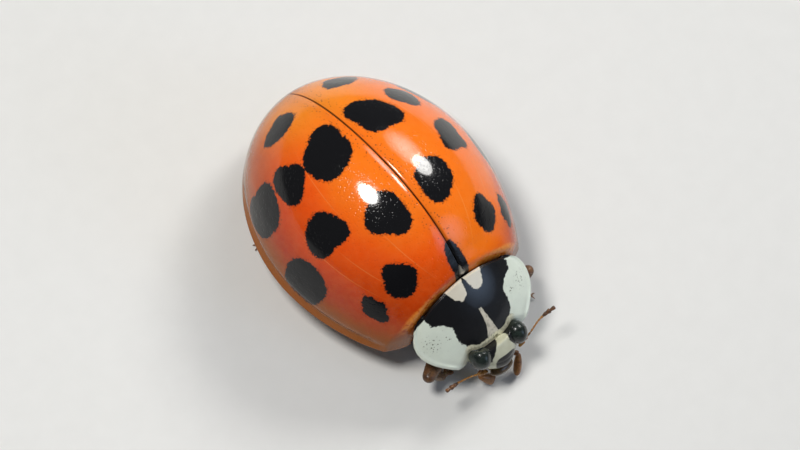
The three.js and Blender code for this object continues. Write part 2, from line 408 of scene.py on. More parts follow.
class Board:
    """The node board of one material, with its shader already in place."""

    def __init__(self, name: str, **uniform: object) -> None:
        """Lays out the shader.

        Args:
            name: The material's name.
            **uniform: Values that are the same all over, by socket name with _ for a space.
        """
        self.made = bpy.data.materials.new(name)
        self.made.use_nodes = True
        self.nodes = self.made.node_tree.nodes
        self.nodes.clear()
        self.shader = self.nodes.new("ShaderNodeBsdfPrincipled")
        sheet = self.nodes.new("ShaderNodeOutputMaterial")
        self.made.node_tree.links.new(self.shader.outputs[0], sheet.inputs[0])
        for key, value in uniform.items():
            self.shader.inputs[key.replace("_", " ")].default_value = value

    def node(
        self,
        kind: str,
        settings: dict[str, object] | None = None,
        inputs: dict[str | int, object] | None = None,
        output: int = 0,
    ) -> Wire:
        """Adds any node.

        Args:
            kind: The node's type.
            settings: Its own properties, set first.
            inputs: Values or wires by socket name or number.
            output: The number of the socket that is returned.

        Returns:
            The wire of that output.
        """
        made = self.nodes.new(kind)
        for key, value in (settings or {}).items():
            setattr(made, key, value)
        for key, value in (inputs or {}).items():
            self.feed(made.inputs[key], value)
        return Wire(self, made.outputs[output])

    def feed(self, socket: bpy.types.NodeSocket, value: object) -> None:
        """Links a wire to a socket, or writes a plain value on it."""
        if isinstance(value, Wire):
            self.made.node_tree.links.new(value.socket, socket)
        elif socket.type == "RGBA":
            socket.default_value = (*value, 1.0)[:4]
        else:
            socket.default_value = value

    def sum(self, operation: str, *values: object) -> Wire:
        """Adds a Math node."""
        return self.node("ShaderNodeMath", {"operation": operation}, dict(enumerate(values)))

    def vector(self, operation: str, *values: object, output: int = 0) -> Wire:
        """Adds a Vector Math node."""
        settings = {"operation": operation}
        return self.node("ShaderNodeVectorMath", settings, dict(enumerate(values)), output)

    def mix(self, share: object, first: object, second: object) -> Wire:
        """Mixes two colours."""
        inputs = {0: share, 6: first, 7: second}
        return self.node("ShaderNodeMix", {"data_type": "RGBA"}, inputs, 2)

    def shade(self, colour: object, amount: object) -> Wire:
        """Multiplies a colour by a value."""
        grey = self.node("ShaderNodeCombineColor", None, {0: amount, 1: amount, 2: amount})
        settings = {"data_type": "RGBA", "blend_type": "MULTIPLY"}
        return self.node("ShaderNodeMix", settings, {0: 1.0, 6: colour, 7: grey}, 2)

    def place(self) -> Wire:
        """Returns the place on the piece, in millimetres."""
        where = self.node("ShaderNodeTexCoord", output=3)
        return self.node("ShaderNodeVectorMath", {"operation": "SCALE"}, {0: where, 3: 1.0 / MM})

    def axes(self, vector: Wire) -> tuple[Wire, Wire, Wire]:
        """Splits a vector in its three values."""
        first = self.node("ShaderNodeSeparateXYZ", None, {0: vector})
        outputs = first.socket.node.outputs
        return first, Wire(self, outputs[1]), Wire(self, outputs[2])

    def noise(self, where: Wire, per_mm: float, detail: float = 2.0, rough: float = 0.5) -> Wire:
        """Returns cloudy noise from 0 to 1, with so many cells in a millimetre."""
        inputs = {"Vector": where, "Scale": per_mm, "Detail": detail, "Roughness": rough}
        return self.node("ShaderNodeTexNoise", None, inputs)

    def cells(self, where: Wire, per_mm: float, loose: float = 1.0) -> Wire:
        """Returns the distance to the nearest of scattered points, in cells."""
        inputs = {"Vector": where, "Scale": per_mm, "Randomness": loose}
        return self.node("ShaderNodeTexVoronoi", None, inputs)

    def bump(self, height: Wire, depth: float, under: Wire | None = None) -> Wire:
        """Returns a normal with a relief.

        Args:
            height: The relief, from 0 to 1.
            depth: Its depth in millimetres.
            under: The normal of a relief that lies below it.

        Returns:
            The wire of the normal.
        """
        inputs = {"Height": height, "Distance": depth * MM, "Strength": 1.0}
        if under is not None:
            inputs["Normal"] = under
        return self.node("ShaderNodeBump", None, inputs)

    def wear(self, **sockets: Wire) -> bpy.types.Material:
        """Feeds the shader's changing sockets and returns the material."""
        for key, value in sockets.items():
            self.feed(self.shader.inputs[key.replace("_", " ")], value)
        return self.made


class Finish:
    """A finish that makes its material once and dresses any number of pieces."""

    _made: dict["Finish", bpy.types.Material] = {}

    def material(self) -> bpy.types.Material:
        """Returns the material, made at its first use."""
        if self not in Finish._made:
            Finish._made[self] = self.paint()
        return Finish._made[self]

    def paint(self) -> bpy.types.Material:
        """Builds the material."""
        raise NotImplementedError


# ---------------------------------------------------------------- the dome of the wing cases


@dataclass(frozen=True)
class Egg:
    """An egg-shaped outline that rises from ahead of the base to its peak and falls to the tip."""

    peak: float
    front_reach: float
    front_power: float
    rear_power: float

    def height(self, share: float) -> float:
        """Returns the outline's height, at most 1, at a share of the length."""
        if share < self.peak:
            away, power = (self.peak - share) / (self.peak + self.front_reach), self.front_power
        else:
            away, power = (share - self.peak) / (1.0 - self.peak), self.rear_power
        return max(1.0 - away**power, 0.0) ** (1.0 / power)


@dataclass(frozen=True)
class Dome:
    """The vault that both wing cases share."""

    rim: float = 0.95  # height above the floor
    base: float = -1.9
    length: float = 5.78
    half_width: float = 2.59
    rise: float = 2.92  # of the crest above the rim
    base_round: float = 0.018  # share of the length over which the base edge rounds off
    plan: Egg = Egg(0.439, 0.22, 1.817, 1.976)
    profile: Egg = Egg(0.414, 0.075, 2.1, 2.1)

    def point(self, share: float, angle: float, grow: float = 0.0) -> Vector:
        """Returns a point of the vault.

        Args:
            share: Share of the length from the base.
            angle: Angle from the crest towards the rim, in radians.
            grow: Distance outwards from the vault.

        Returns:
            The point in millimetres.
        """
        wide = (self.half_width + grow) * self.plan.height(share)
        high = (self.rise + grow) * self.profile.height(share)
        y = self.base + share * self.length
        return Vector((wide * math.sin(angle), y, self.rim + high * math.cos(angle)))

    def stance(self, share: float, angle: float) -> Matrix:
        """Returns the frame on the surface: X away from the suture, Y backwards, Z outwards."""
        step = 1e-4
        side = (self.point(share, angle + step) - self.point(share, angle - step)).normalized()
        back = self.point(share + step, angle) - self.point(share - step, angle)
        out = side.cross(back).normalized()
        back = out.cross(side)
        return Matrix((side, back, out)).transposed()

    def base_fullness(self, share: float) -> float:
        """Returns how full the vault is where its base edge rounds off."""
        short = min(share / self.base_round, 1.0)
        return (1.0 - (1.0 - short) ** 3) ** (1.0 / 3.0)


DOME = Dome()


@dataclass(frozen=True)
class SeamBow:
    """How the suture strays to the beetle's left towards the base."""

    start: float = -2.6
    full: float = 1.9
    shift: float = 0.06

    def at(self, y: float) -> float:
        """Returns how far the suture strays there."""
        return self.shift * smooth(-y, self.start, self.full)


SEAM_BOW = SeamBow()


@dataclass(frozen=True)
class Spot:
    """A black spot: its place on the vault, its size and the waves of its outline."""

    share: float
    angle: float
    radius: float
    waves: tuple[tuple[int, float, float], ...] = ()  # order, size, phase in degrees


@dataclass(frozen=True)
class Streak:
    """A fine pale line in the colour, such as a vein under the surface leaves."""

    share: float
    angle: float
    length: float
    heading: float  # degrees from straight back, towards the rim


@dataclass(frozen=True)
class WingCaseFinish(Finish):
    """Lacquered orange with black spots, an amber rim and a dark suture, with painted shade down the flanks
    and the rim and a painted highlight along the base.
    """

    side: Side
    spots: tuple[Spot, ...]
    streaks: tuple[Streak, ...]
    # painted shade: below these heights the half shade and the shaded flank darken the orange down the
    # slopes
    clears: tuple[float, float]  # heights above the rim between which the red turns orange
    crown: Colour = (0.96, 0.182, 0.005)
    half_shade: Colour = (0.95, 0.098, 0.002)
    shaded_flank: Colour = (0.46, 0.038, 0.001)
    tail: Colour = (0.92, 0.30, 0.014)
    # the amber is partly the rim's own colour and partly painted shade
    amber: Colour = (0.30, 0.095, 0.008)
    black: Colour = (0.004, 0.004, 0.005)
    seam: Colour = (0.16, 0.035, 0.008)
    pale: Colour = (0.96, 0.38, 0.10)
    # the gilt is partly a real golden rim and partly a painted highlight on the rolled base edge
    gilt: Colour = (0.82, 0.30, 0.04)
    clouds_per_mm: float = 0.9
    mottle_per_mm: float = 6.0
    pits_per_mm: float = 14.0
    pit_depth: float = 0.0026
    ripple_depth: float = 0.012
    rim_clear: float = 0.20  # how close the black comes to the rim
    patch_y: float = 1.74  # how far ahead of the middle the black patch round the scutellum lies
    patch_radius: float = 0.33

    def local(self, board: Board, where: Wire, share: float, angle: float) -> Wire:
        """Returns the place in the frame of a point on the vault."""
        turn = DOME.stance(share, angle).to_euler("XYZ")
        inputs = {"Vector": where, "Location": DOME.point(share, angle), "Rotation": turn}
        return board.node("ShaderNodeMapping", {"vector_type": "TEXTURE"}, inputs)

    def spot_depth(self, board: Board, where: Wire, spot: Spot, ragged: Wire) -> Wire:
        """Returns how deep a place lies inside a spot, in millimetres.

        Args:
            board: The material's board.
            where: The place on the mirrored piece.
            spot: The spot.
            ragged: How far its edge strays, in millimetres.

        Returns:
            The wire of the depth.
        """
        across, back, out = board.axes(self.local(board, where, spot.share, spot.angle))
        away = board.sum("SQRT", across * across + back * back)
        heading = board.sum("ARCTAN2", back, across)
        reach = None
        for order, size, phase in spot.waves:
            turned = board.sum("MULTIPLY_ADD", heading, float(order), -math.radians(phase))
            wave = board.sum("COSINE", turned) * (size * spot.radius)
            reach = wave if reach is None else reach + wave
        inside = (reach if reach is not None else 0.0) + (ragged - away) + spot.radius
        return inside - out.rise(-0.9, -1.1) * 9.0

    def streak_mask(self, board: Board, where: Wire, streak: Streak) -> Wire:
        """Returns 1 on a streak's line, fading towards its ends."""
        across, back, out = board.axes(self.local(board, where, streak.share, streak.angle))
        cos, sin = math.cos(math.radians(streak.heading)), math.sin(math.radians(streak.heading))
        off = across * cos - back * sin
        run = across * sin + back * cos
        bow = run * run * 0.035
        return (off + bow).bell(0.0, 0.016) * run.bell(0.0, streak.length) * out.rise(-1.1, -0.9)

    def ground(self, board: Board, where: Wire, x: Wire, y: Wire, height: Wire) -> Wire:
        """Returns the colour between the spots.

        Args:
            board: The material's board.
            where: The place on the mirrored piece.
            x: How far it lies from the suture.
            y: How far back it lies.
            height: How far it lies above the rim.

        Returns:
            The wire of the colour.
        """
        cloud = board.noise(where, self.clouds_per_mm, 3.0, 0.55)
        mottle = board.noise(where, self.mottle_per_mm, 3.0, 0.6)
        level = height + (cloud - 0.5) * 0.4

        # painted shade: from a deep red shaded flank up to the orange crown, the red reaching higher on the
        # right wing; yellower towards the tail
        colour = board.mix(level.rise(1.1, 2.45), self.shaded_flank, self.half_shade)
        colour = board.mix(level.rise(*self.clears), colour, self.crown)
        colour = board.mix(y.rise(1.5, 3.1) * (x.rise(1.6, 0.5) * 0.6 + 0.2), colour, self.tail)
        colour = board.mix((mottle - 0.35) * 0.18, colour, self.pale)

        # amber along the rim and round the tail, partly the rim's own translucent amber and partly painted
        # shade; gilt along the base, a painted highlight on the rolled base edge over its real golden rim
        rim_band = level.rise(1.25, 0.35)
        tail_band = (y + (cloud - 0.5) * 0.5 - height * 0.35).rise(2.75, 3.5) * 0.65
        colour = board.mix(rim_band.highest(tail_band) * 0.9, colour, self.amber)
        # painted highlight, partly a real golden rim: the gilt lights up the rolled base edge in a stipple
        base_band = y.rise(-1.86, -1.93) * height.rise(0.5, 1.3)
        gilt_stipple = board.noise(where, 12.0, 3.0).rise(0.25, 0.60)
        colour = board.mix(base_band * gilt_stipple * 0.8, colour, self.gilt)

        for streak in self.streaks:
            colour = board.mix(self.streak_mask(board, where, streak) * 0.35, colour, self.pale)
        return colour

    def black_depth(self, board: Board, where: Wire, x: Wire, y: Wire, height: Wire) -> Wire:
        """Returns how deep a place lies inside the nearest black marking, in millimetres.

        Args:
            board: The material's board.
            where: The place on the mirrored piece.
            x: How far it lies from the suture.
            y: How far back it lies.
            height: How far it lies above the rim.

        Returns:
            The wire of the depth, below 0 outside the black.
        """
        ragged = (board.noise(where, 11.0, 2.0, 0.7) - 0.5) * 0.115
        ragged = ragged + (board.cells(where, 17.0) - 0.45) * 0.055
        neck = (x * 1.75).highest(0.0)
        back = y + self.patch_y
        depth = self.patch_radius - board.sum("SQRT", neck * neck + back * back * 0.62) + ragged
        for spot in self.spots:
            depth = depth.highest(self.spot_depth(board, where, spot, ragged))
        return depth.lowest(height - self.rim_clear + ragged)

    def paint(self) -> bpy.types.Material:
        """Builds the material."""
        name = f"wing case {self.side.word}"
        board = Board(name, Coat_Roughness=0.07, Coat_IOR=1.5, Specular_IOR_Level=0.2)
        where = board.vector("MULTIPLY", board.place(), (float(self.side), 1.0, 1.0))
        x, y, z = board.axes(where)
        x = x - (-y).rise(SEAM_BOW.start, SEAM_BOW.full) * (SEAM_BOW.shift * self.side)
        height = z - DOME.rim

        colour = self.ground(board, where, x, y, height)
        depth = self.black_depth(board, where, x, y, height)
        spots = depth.rise(*SOFT_EDGE)
        colour = board.mix(depth.rise(-0.055, 0.0) * 0.35, colour, self.seam)
        colour = board.mix(spots, colour, self.black)

        # pits show dark beside the suture and round the spots
        near = board.cells(where, self.pits_per_mm)
        pits = near.rise(0.30, 0.14)
        beside = x.rise(0.34, 0.10) * x.rise(0.02, 0.07)
        fringe = depth.rise(-0.11, -0.01)
        colour = board.mix(beside * (1.0 - spots) * 0.10, colour, self.seam)
        specks = pits * (beside * 0.75).highest(fringe * 0.8).highest(0.06) * (1.0 - spots)
        colour = board.mix(specks, colour, self.seam)
        suture = (x * (1.3 - y.rise(-0.2, -1.4) * 0.7)).rise(0.045, 0.012) * 0.6
        colour = board.mix(suture * (1.0 - spots), colour, self.seam)

        # the coat is thickest over the crown and thin towards the rim and the base
        bowls = (1.0 - (near / 0.36) ** 2.0).highest(0.0)
        relief = board.bump(1.0 - bowls, self.pit_depth)
        relief = board.bump(board.noise(where, 3.0, 2.0, 0.5), self.ripple_depth, relief)
        dull = beside * 0.10 + board.noise(where, 20.0, 2.0) * 0.06 + 0.09
        coat = (height.rise(1.2, 2.5) * 0.6 + 0.2) * (1.0 - y.rise(-0.7, -1.4) * 0.75)
        return board.wear(Base_Color=colour, Roughness=dull, Coat_Weight=coat, Normal=relief)


RIGHT_SPOTS = (
    Spot(0.106, 0.574, 0.393, ((2, 0.068, -132), (3, 0.052, -115), (4, 0.048, 14))),
    Spot(0.107, 0.985, 0.294, ((2, 0.165, -139), (3, 0.015, 107), (4, 0.112, 96))),
    Spot(0.294, 0.271, 0.469, ((2, 0.056, 147), (3, 0.102, 15), (4, 0.025, -22))),
    Spot(0.407, 0.760, 0.485, ((2, 0.127, 12), (3, 0.104, -63), (4, 0.039, 168))),
    Spot(0.367, 1.277, 0.603, ((2, 0.133, 10), (3, 0.051, 18))),
    Spot(0.622, 0.300, 0.575, ((2, 0.089, -122), (3, 0.055, -13), (4, 0.056, 111))),
    Spot(0.643, 0.723, 0.440, ((2, 0.069, 158), (3, 0.115, 166), (4, 0.027, -30))),
    Spot(0.662, 1.146, 0.591, ((2, 0.115, 15), (3, 0.057, 79), (4, 0.050, -166))),
    Spot(0.848, 0.525, 0.372, ((2, 0.189, -18), (3, 0.043, -30), (4, 0.082, 8))),
)
LEFT_SPOTS = (
    Spot(0.114, 0.597, 0.367, ((2, 0.123, -138), (3, 0.013, -54), (4, 0.056, 27))),
    Spot(0.107, 0.985, 0.294, ((2, 0.165, -139), (3, 0.015, 107), (4, 0.112, 96))),
    Spot(0.296, 0.271, 0.463, ((2, 0.084, 109), (3, 0.043, 40), (4, 0.042, -129))),
    Spot(0.420, 0.738, 0.425, ((2, 0.099, 98), (3, 0.072, -130), (4, 0.104, 155))),
    Spot(0.367, 1.277, 0.603, ((2, 0.133, 10), (3, 0.051, 18))),
    Spot(0.632, 0.269, 0.529, ((2, 0.140, -98), (3, 0.079, -41), (4, 0.063, 173))),
    Spot(0.648, 0.708, 0.365, ((2, 0.090, -106), (3, 0.029, 89), (4, 0.038, 33))),
    Spot(0.662, 1.146, 0.591, ((2, 0.115, 15), (3, 0.057, 79), (4, 0.050, -166))),
    Spot(0.853, 0.500, 0.360, ((2, 0.189, -18), (3, 0.043, -30), (4, 0.082, 8))),
)
STREAKS = (
    Streak(0.16, 0.38, 1.2, 4.0),
    Streak(0.30, 0.92, 1.5, 3.0),
    Streak(0.55, 0.55, 1.3, -3.0),
    Streak(0.22, 0.75, 0.9, 6.0),
)


@dataclass(frozen=True)
class Swell:
    """A low swelling of the vault: how high, and where along and round the vault it lies."""

    rise: float
    share: float
    share_spread: float
    angle: float
    angle_spread: float

    def at(self, share: float, angle: float) -> float:
        """Returns how far the vault swells there."""
        along_it = self.rise * hump(share, self.share, self.share_spread)
        return along_it * hump(angle, self.angle, self.angle_spread)


@dataclass
class WingCase:
    """One wing case: a thin vaulted shell that dips at the suture, with a gutter and a folded rim."""

    side: Side
    seam_dip: tuple[float, float]  # how deep and how wide the shell dips at the suture
    steps_round: int = 240  # over a whole turn
    rings: int = 96
    mouth: float = -0.996  # faces of the unit sphere ahead of this are taken out
    seam_gap: float = 0.007
    base_reach: float = 0.045  # how far the base edge comes up to the shield
    base_bow: float = 0.07
    bow_width: float = 1.3  # the base edge bows no further from the suture than this
    wall: float = 0.07
    crowding: float = 0.8  # how much the faces crowd at the suture and the rim
    gutter: Triple = (0.070, 0.22, 0.12)  # depth, height above the rim and width
    rim_bead: float = 0.022
    shoulder: Swell = Swell(0.045, 0.075, 0.05, 0.95, 0.22)
    tail_lip: Swell = Swell(0.030, 0.955, 0.012, 0.0, 0.9)
    folds: int = 3
    fold: Triple = (0.87, 0.97, 1.0)  # each fold under the rim shrinks it by this
    fold_middle: float = 0.6
    fold_drop: float = 0.03

    def shell_point(self, unit: Vector) -> Vector:
        """Returns the place of a point of the unit sphere on the wing case."""
        share = (unit.y + 1.0) / 2.0
        off_pole = math.hypot(unit.x, unit.z) > 1e-6
        turn = math.atan2(unit.x, unit.z) / (math.pi / 2) if off_pole else 0.0
        turn = turn - self.crowding * math.sin(2 * math.pi * turn) / (2 * math.pi)
        angle = turn * math.pi / 2
        plain = DOME.point(share, angle)
        above_rim = plain.z - DOME.rim

        dip, spread = self.seam_dip
        relief = -dip * math.exp(-((abs(plain.x) / spread) ** 2)) * smooth(share, 1.0, 0.9)
        fades = smooth(share, -0.02, 0.1) * smooth(share, 0.99, 0.7)
        depth, middle, width = self.gutter
        relief -= depth * hump(above_rim, middle, width) * fades
        relief += self.rim_bead * smooth(above_rim, 0.11, 0.02) * fades
        relief += self.shoulder.at(share, angle)
        relief += self.tail_lip.at(share, angle)
        shaped = DOME.point(share, angle, relief)

        fullness = DOME.base_fullness(share)
        shaped.x *= fullness
        shaped.z = DOME.rim + (shaped.z - DOME.rim) * fullness
        wide = shaped.x
        reach = self.base_reach + self.base_bow * min(wide, self.bow_width) ** 2
        shaped.y -= reach * smooth(share, 0.055, 0.0) * smooth(wide, 1.9, self.bow_width)
        stray = self.side * SEAM_BOW.at(shaped.y) * math.exp(-((wide / 0.35) ** 2))
        shaped.x = max(wide, 0.0) + self.seam_gap + stray
        return shaped

    def build(self) -> Workpiece:
        """Returns the shell."""
        piece = Workpiece(
            f"wing_case_{self.side.word}_shell",
            Start.SPHERE,
            segments=self.steps_round,
            ring_count=self.rings,
            radius=1.0,
            rotation=(math.radians(-90), 0, 0),
        )
        piece.bisected((0, 0, 0), (0, 0, 1)).bisected((0, 0, 0), (1, 0, 0))
        with piece.edited():
            piece.pick(Part.FACES, lambda middle: middle.y < self.mouth)
            bpy.ops.mesh.delete(type="FACE")
        piece.mould(self.shell_point)
        rim_top = DOME.rim + 1e-3
        drop = {"value": (0, 0, -self.fold_drop)}
        with piece.edited():
            piece.pick(Part.EDGES, lambda middle: middle.z < rim_top and middle.x > 0.05, rim_only=True)
            for _ in range(self.folds):
                bpy.ops.mesh.extrude_region_move(TRANSFORM_OT_translate=drop)
                centre = (0.0, self.fold_middle, DOME.rim)
                bpy.ops.transform.resize(value=self.fold, center_override=centre)
        piece.thickened(self.wall).subdivided()
        piece.squared_up()
        if self.side is Side.RIGHT:
            piece.placed(MIRROR)
        return piece


@dataclass(frozen=True)
class ScutellumFinish(Finish):
    """A greyish horn plate with darker edges."""

    middle: Colour = (0.30, 0.27, 0.20)
    edge: Colour = (0.03, 0.025, 0.02)

    def paint(self) -> bpy.types.Material:
        """Builds the material."""
        board = Board("scutellum", Coat_Weight=0.6, Coat_Roughness=0.12)
        where = board.place()
        x, y, _ = board.axes(where)
        grain = board.noise(where, 30.0, 3.0)
        from_edge = (y + 1.73) * -0.55 - abs(x - SEAM_BOW.shift)
        colour = board.mix(from_edge.rise(0.0, 0.06) * (grain * 0.6 + 0.5), self.edge, self.middle)
        return board.wear(Base_Color=colour, Roughness=grain * 0.3 + 0.3, Normal=board.bump(grain, 0.006))


@dataclass
class Scutellum:
    """The small triangle between the wing cases at their base."""

    half_width: float = 0.165
    length: float = 0.27
    under_shield: float = 0.07  # how far it runs under the shield
    lift: float = 0.03
    clear: float = 0.012
    wall: float = 0.12

    def build(self) -> Workpiece:
        """Returns the plate."""
        piece = Workpiece("scutellum_plate", Start.DISC, vertices=3, radius=1.0, fill_type="NGON")
        piece.mould(lambda p: (0, 1, 0) if p.y > 0.5 else (math.copysign(1, p.x), 0, 0))
        with piece.edited():
            bpy.ops.mesh.inset(thickness=0.18)
            bpy.ops.mesh.poke()
            bpy.ops.mesh.subdivide(number_cuts=3)
        front = DOME.base - self.under_shield
        piece.mould(lambda p: (p.x * self.half_width, front + p.y * self.length, 0.0))

        def drape(p: Vector) -> Vector:
            """Returns a point of the plate laid on the vault."""
            share = max((p.y - DOME.base) / DOME.length, 0.002)
            crest = DOME.point(share, 0.0).z
            dish = 1.0 - min(abs(p.x) / self.half_width, 1.0)
            return Vector((p.x + SEAM_BOW.shift, p.y, crest + self.lift * dish + self.clear))

        piece.mould(drape)
        return piece.thickened(self.wall).subdivided().squared_up()


# ---------------------------------------------------------------- the shield behind the head


@dataclass(frozen=True)
class ShieldForm:
    """The plan and the arch of the shield, as in the solids."""

    base: float = -1.955
    front: float = -3.125
    base_height: float = 2.55
    front_height: float = 1.35
    even_fall: float = 0.62
    arch: float = 2.1
    softness: float = 0.03
    side_line: tuple[tuple[float, float], ...] = (
        (0.0, 1.16), (0.03, 1.30), (0.07, 1.40), (0.13, 1.475), (0.22, 1.525), (0.34, 1.535),
        (0.46, 1.505), (0.58, 1.44), (0.70, 1.345), (0.81, 1.23), (0.90, 1.12), (0.96, 1.035), (1.0, 0.95),
    )
    base_line: tuple[tuple[float, float], ...] = ((0.0, -1.955), (0.5, -1.975), (0.86, -2.01), (1.2, -2.05))
    front_line: tuple[tuple[float, float], ...] = (
        (0.0, -3.145), (0.25, -3.14), (0.42, -3.105), (0.55, -3.05),
        (0.64, -3.045), (0.75, -3.085), (0.88, -3.125), (1.0, -3.12),
    )

    def height(self, x: float, y: float) -> float:
        """Returns the height of the upper face."""
        share = (self.base - y) / (self.base - self.front)
        fall = self.even_fall * share + (1.0 - self.even_fall) * share * share
        arch = self.arch - math.sqrt(max(self.arch**2 - x * x, 0.0))
        return self.base_height + (self.front_height - self.base_height) * fall - arch

    def point(self, across: float, down: float) -> Vector:
        """Returns a point of the upper face from shares across (-1 to 1) and down (0 to 1)."""
        eased = down**1.5 if down < 0.5 else 0.5**1.5 + (down - 0.5) * (1 - 0.5**1.5) / 0.5
        x = across * along(self.side_line, eased)
        hind, fore = along(self.base_line, abs(x)), along(self.front_line, abs(x))
        y = hind + (fore - hind) * eased
        return Vector((x, y, self.height(x, y)))

    def tucked(self, p: Vector, clear: float, slope: float) -> Vector:
        """Returns a point pressed down far enough to pass under the shield's front edge.

        Args:
            p: The point.
            clear: How far it stays below the shield.
            slope: How steeply it may rise again ahead of the edge.

        Returns:
            The point, moved in height only.
        """
        front = along(self.front_line, abs(p.x))
        ahead = max(front - p.y, 0.0)
        roof = self.height(p.x, max(p.y, front)) - clear + slope * ahead
        over = (p.z - roof) / self.softness
        soft = over + math.log1p(math.exp(-over)) if over > -20 else 0.0
        return Vector((p.x, p.y, p.z - max(soft, 0.0) * self.softness))


SHIELD = ShieldForm()


@dataclass(frozen=True)
class ShieldFinish(Finish):
    """Glossy black with milk-white side lobes, two patches at the base and a wedge in front."""

    lobe: Colour = (0.76, 0.82, 0.70)
    cream: Colour = (0.68, 0.63, 0.51)
    straw: Colour = (0.80, 0.76, 0.54)
    black: Colour = (0.005, 0.005, 0.006)
    speck: Colour = (0.07, 0.07, 0.025)
    crowds: tuple[Triple, Triple] = ((1.21, 2.48, 1.66), (0.88, 2.60, 1.75))  # of specks

    def paint(self) -> bpy.types.Material:
        """Builds the material."""
        gloss = {"Coat_Weight": 0.85, "Coat_Roughness": 0.05, "Coat_IOR": 1.35}
        board = Board("shield", **gloss, Specular_IOR_Level=0.2)
        where = board.place()
        x, y, z = board.axes(where)
        wide = abs(x)
        ragged = (board.noise(where, 9.0, 3.0, 0.65) - 0.5) * 0.16
        fine = (board.noise(where, 30.0, 2.0, 0.6) - 0.5) * 0.03

        # the white lobes, whose inner edge steps in towards the front
        inner = (-y).rise(2.10, 2.62) * -0.42 + 1.12
        inner = inner - (-y).rise(2.80, 3.08) * 0.20
        inner = inner + (y + 2.28).bell(0.0, 0.09) * 0.05
        lobe = (wide - inner + ragged + fine).rise(*SOFT_EDGE)
        lobe = lobe * (-y + wide * 0.02 + fine).rise(2.105, 2.125)

        # the two patches at the base
        depth = -1.96 - y
        outside = 0.50 - depth * 0.50 - wide
        inside = wide - 0.015 - depth * 0.26
        off_middle = wide - 0.22
        patch = outside.lowest(inside).lowest(0.345 - depth - off_middle * off_middle * 4.0)
        patch = (patch + ragged * 0.75 + fine).rise(-0.008, 0.014)

        # the wedge in the middle of the front
        ahead = -y - 2.585
        right = 0.05 + ahead * 0.28 - x
        left = x + 0.012 + (ahead - 0.28).highest(0.0) * 0.45
        wedge = (right.lowest(left).lowest(ahead * 0.8) + ragged * 0.25 + fine).rise(-0.008, 0.012)

        # the straw-coloured strip along the front edge
        margin = wide.rise(0.30, 0.58) * -0.06 + wide.rise(0.58, 0.80) * 0.06 + 3.145
        strip = -y - (margin - 0.085 - wide.rise(0.3, 0.6) * 0.05) + fine + ragged * 0.2
        strip = strip.rise(-0.008, 0.012)
        strip = strip * wide.rise(0.72, 0.58)

        pale = board.mix(patch, board.mix(lobe, self.black, self.lobe), self.cream)
        pale = board.mix(wedge, pale, self.cream)
        pale = board.mix(strip * 0.92, pale, self.straw)
        white = lobe.highest(patch).highest(wedge).highest(strip)

        # specks crowd round two places of each lobe, and stains lie on the wedge and the strip
        cloud = board.noise(where, 3.0, 3.0)
        on_one_side = board.vector("ABSOLUTE", where)
        broad, small = (
            board.vector("DISTANCE", on_one_side, middle, output=1) for middle in self.crowds
        )
        crowd = broad.rise(0.30, 0.06).highest(small.rise(0.14, 0.02))
        few = board.cells(where, 11.0).rise(0.11, 0.05) * 0.35
        dots = board.cells(where, 19.0).rise(0.40, 0.22) * crowd + few
        dots = dots * board.noise(where, 14.0).rise(0.38, 0.56)
        stains = board.noise(where, 14.0, 3.0).rise(0.45, 0.7)
        stained = board.mix((wedge + strip) * stains * 0.4, pale, self.speck)
        colour = board.mix(dots * white, stained, self.speck)
        colour = board.shade(colour, cloud * 0.22 + 0.86)

        relief = board.bump(board.cells(where, 22.0).rise(0.05, 0.3), 0.0022)
        relief = board.bump(cloud, 0.01, relief)
        dull = board.noise(where, 16.0) * 0.15 + 0.24
        return board.wear(Base_Color=colour, Roughness=dull, Normal=relief)


@dataclass
class Shield:
    """The pronotum: a plate draped over the arch, with a raised bead along its sides."""

    across: int = 96
    down: int = 64
    crowding: float = 1.35  # how much the faces crowd at the sides
    bead: float = 0.016
    trough: float = 0.020
    side_roll: float = 0.05
    base_roll: float = 0.045
    front_roll: float = 0.04
    folds: tuple[tuple[float, float], ...] = ((0.985, 0.035), (0.93, 0.07), (0.86, 0.06))  # shrink, drop
    wall: float = 0.09

    def build(self) -> Workpiece:
        """Returns the plate."""
        faces = {"x_subdivisions": self.across, "y_subdivisions": self.down}
        piece = Workpiece("pronotum_plate", Start.GRID, size=2.0, **faces)

        def press(p: Vector) -> Vector:
            """Returns a point of the plate, with its bead and rolled edges."""
            side = math.copysign(1.0 - (1.0 - abs(p.x)) ** self.crowding, p.x)
            down = (1.0 - p.y) / 2.0
            laid = SHIELD.point(side, down)
            reach = along(SHIELD.side_line, 0.0 if down <= 0 else min(down, 1.0))
            from_side = (1.0 - abs(side)) * reach
            laid.z += self.bead * hump(from_side, 0.03, 0.03) - self.trough * hump(from_side, 0.115, 0.05)
            laid.z -= self.side_roll * smooth(from_side, 0.012, 0.0)
            hind = along(SHIELD.base_line, abs(laid.x)) - laid.y
            laid.z -= self.base_roll * smooth(hind, 0.05, 0.0)
            fore = laid.y - along(SHIELD.front_line, abs(laid.x))
            laid.z -= self.front_roll * smooth(fore, 0.05, 0.0)
            return laid

        piece.mould(press)
        with piece.edited():
            for shrink, drop in self.folds:
                piece.pick(Part.EDGES, lambda middle: abs(middle.x) > 1.12 or middle.y < -2.9, rim_only=True)
                bpy.ops.mesh.extrude_region_move(TRANSFORM_OT_translate={"value": (0, 0, -drop)})
                bpy.ops.transform.resize(value=(shrink, 1.0, 1.0), center_override=(0, -2.5, 1.5))
        return piece.thickened(self.wall, even=False).subdivided().squared_up()


# ---------------------------------------------------------------- horn finishes


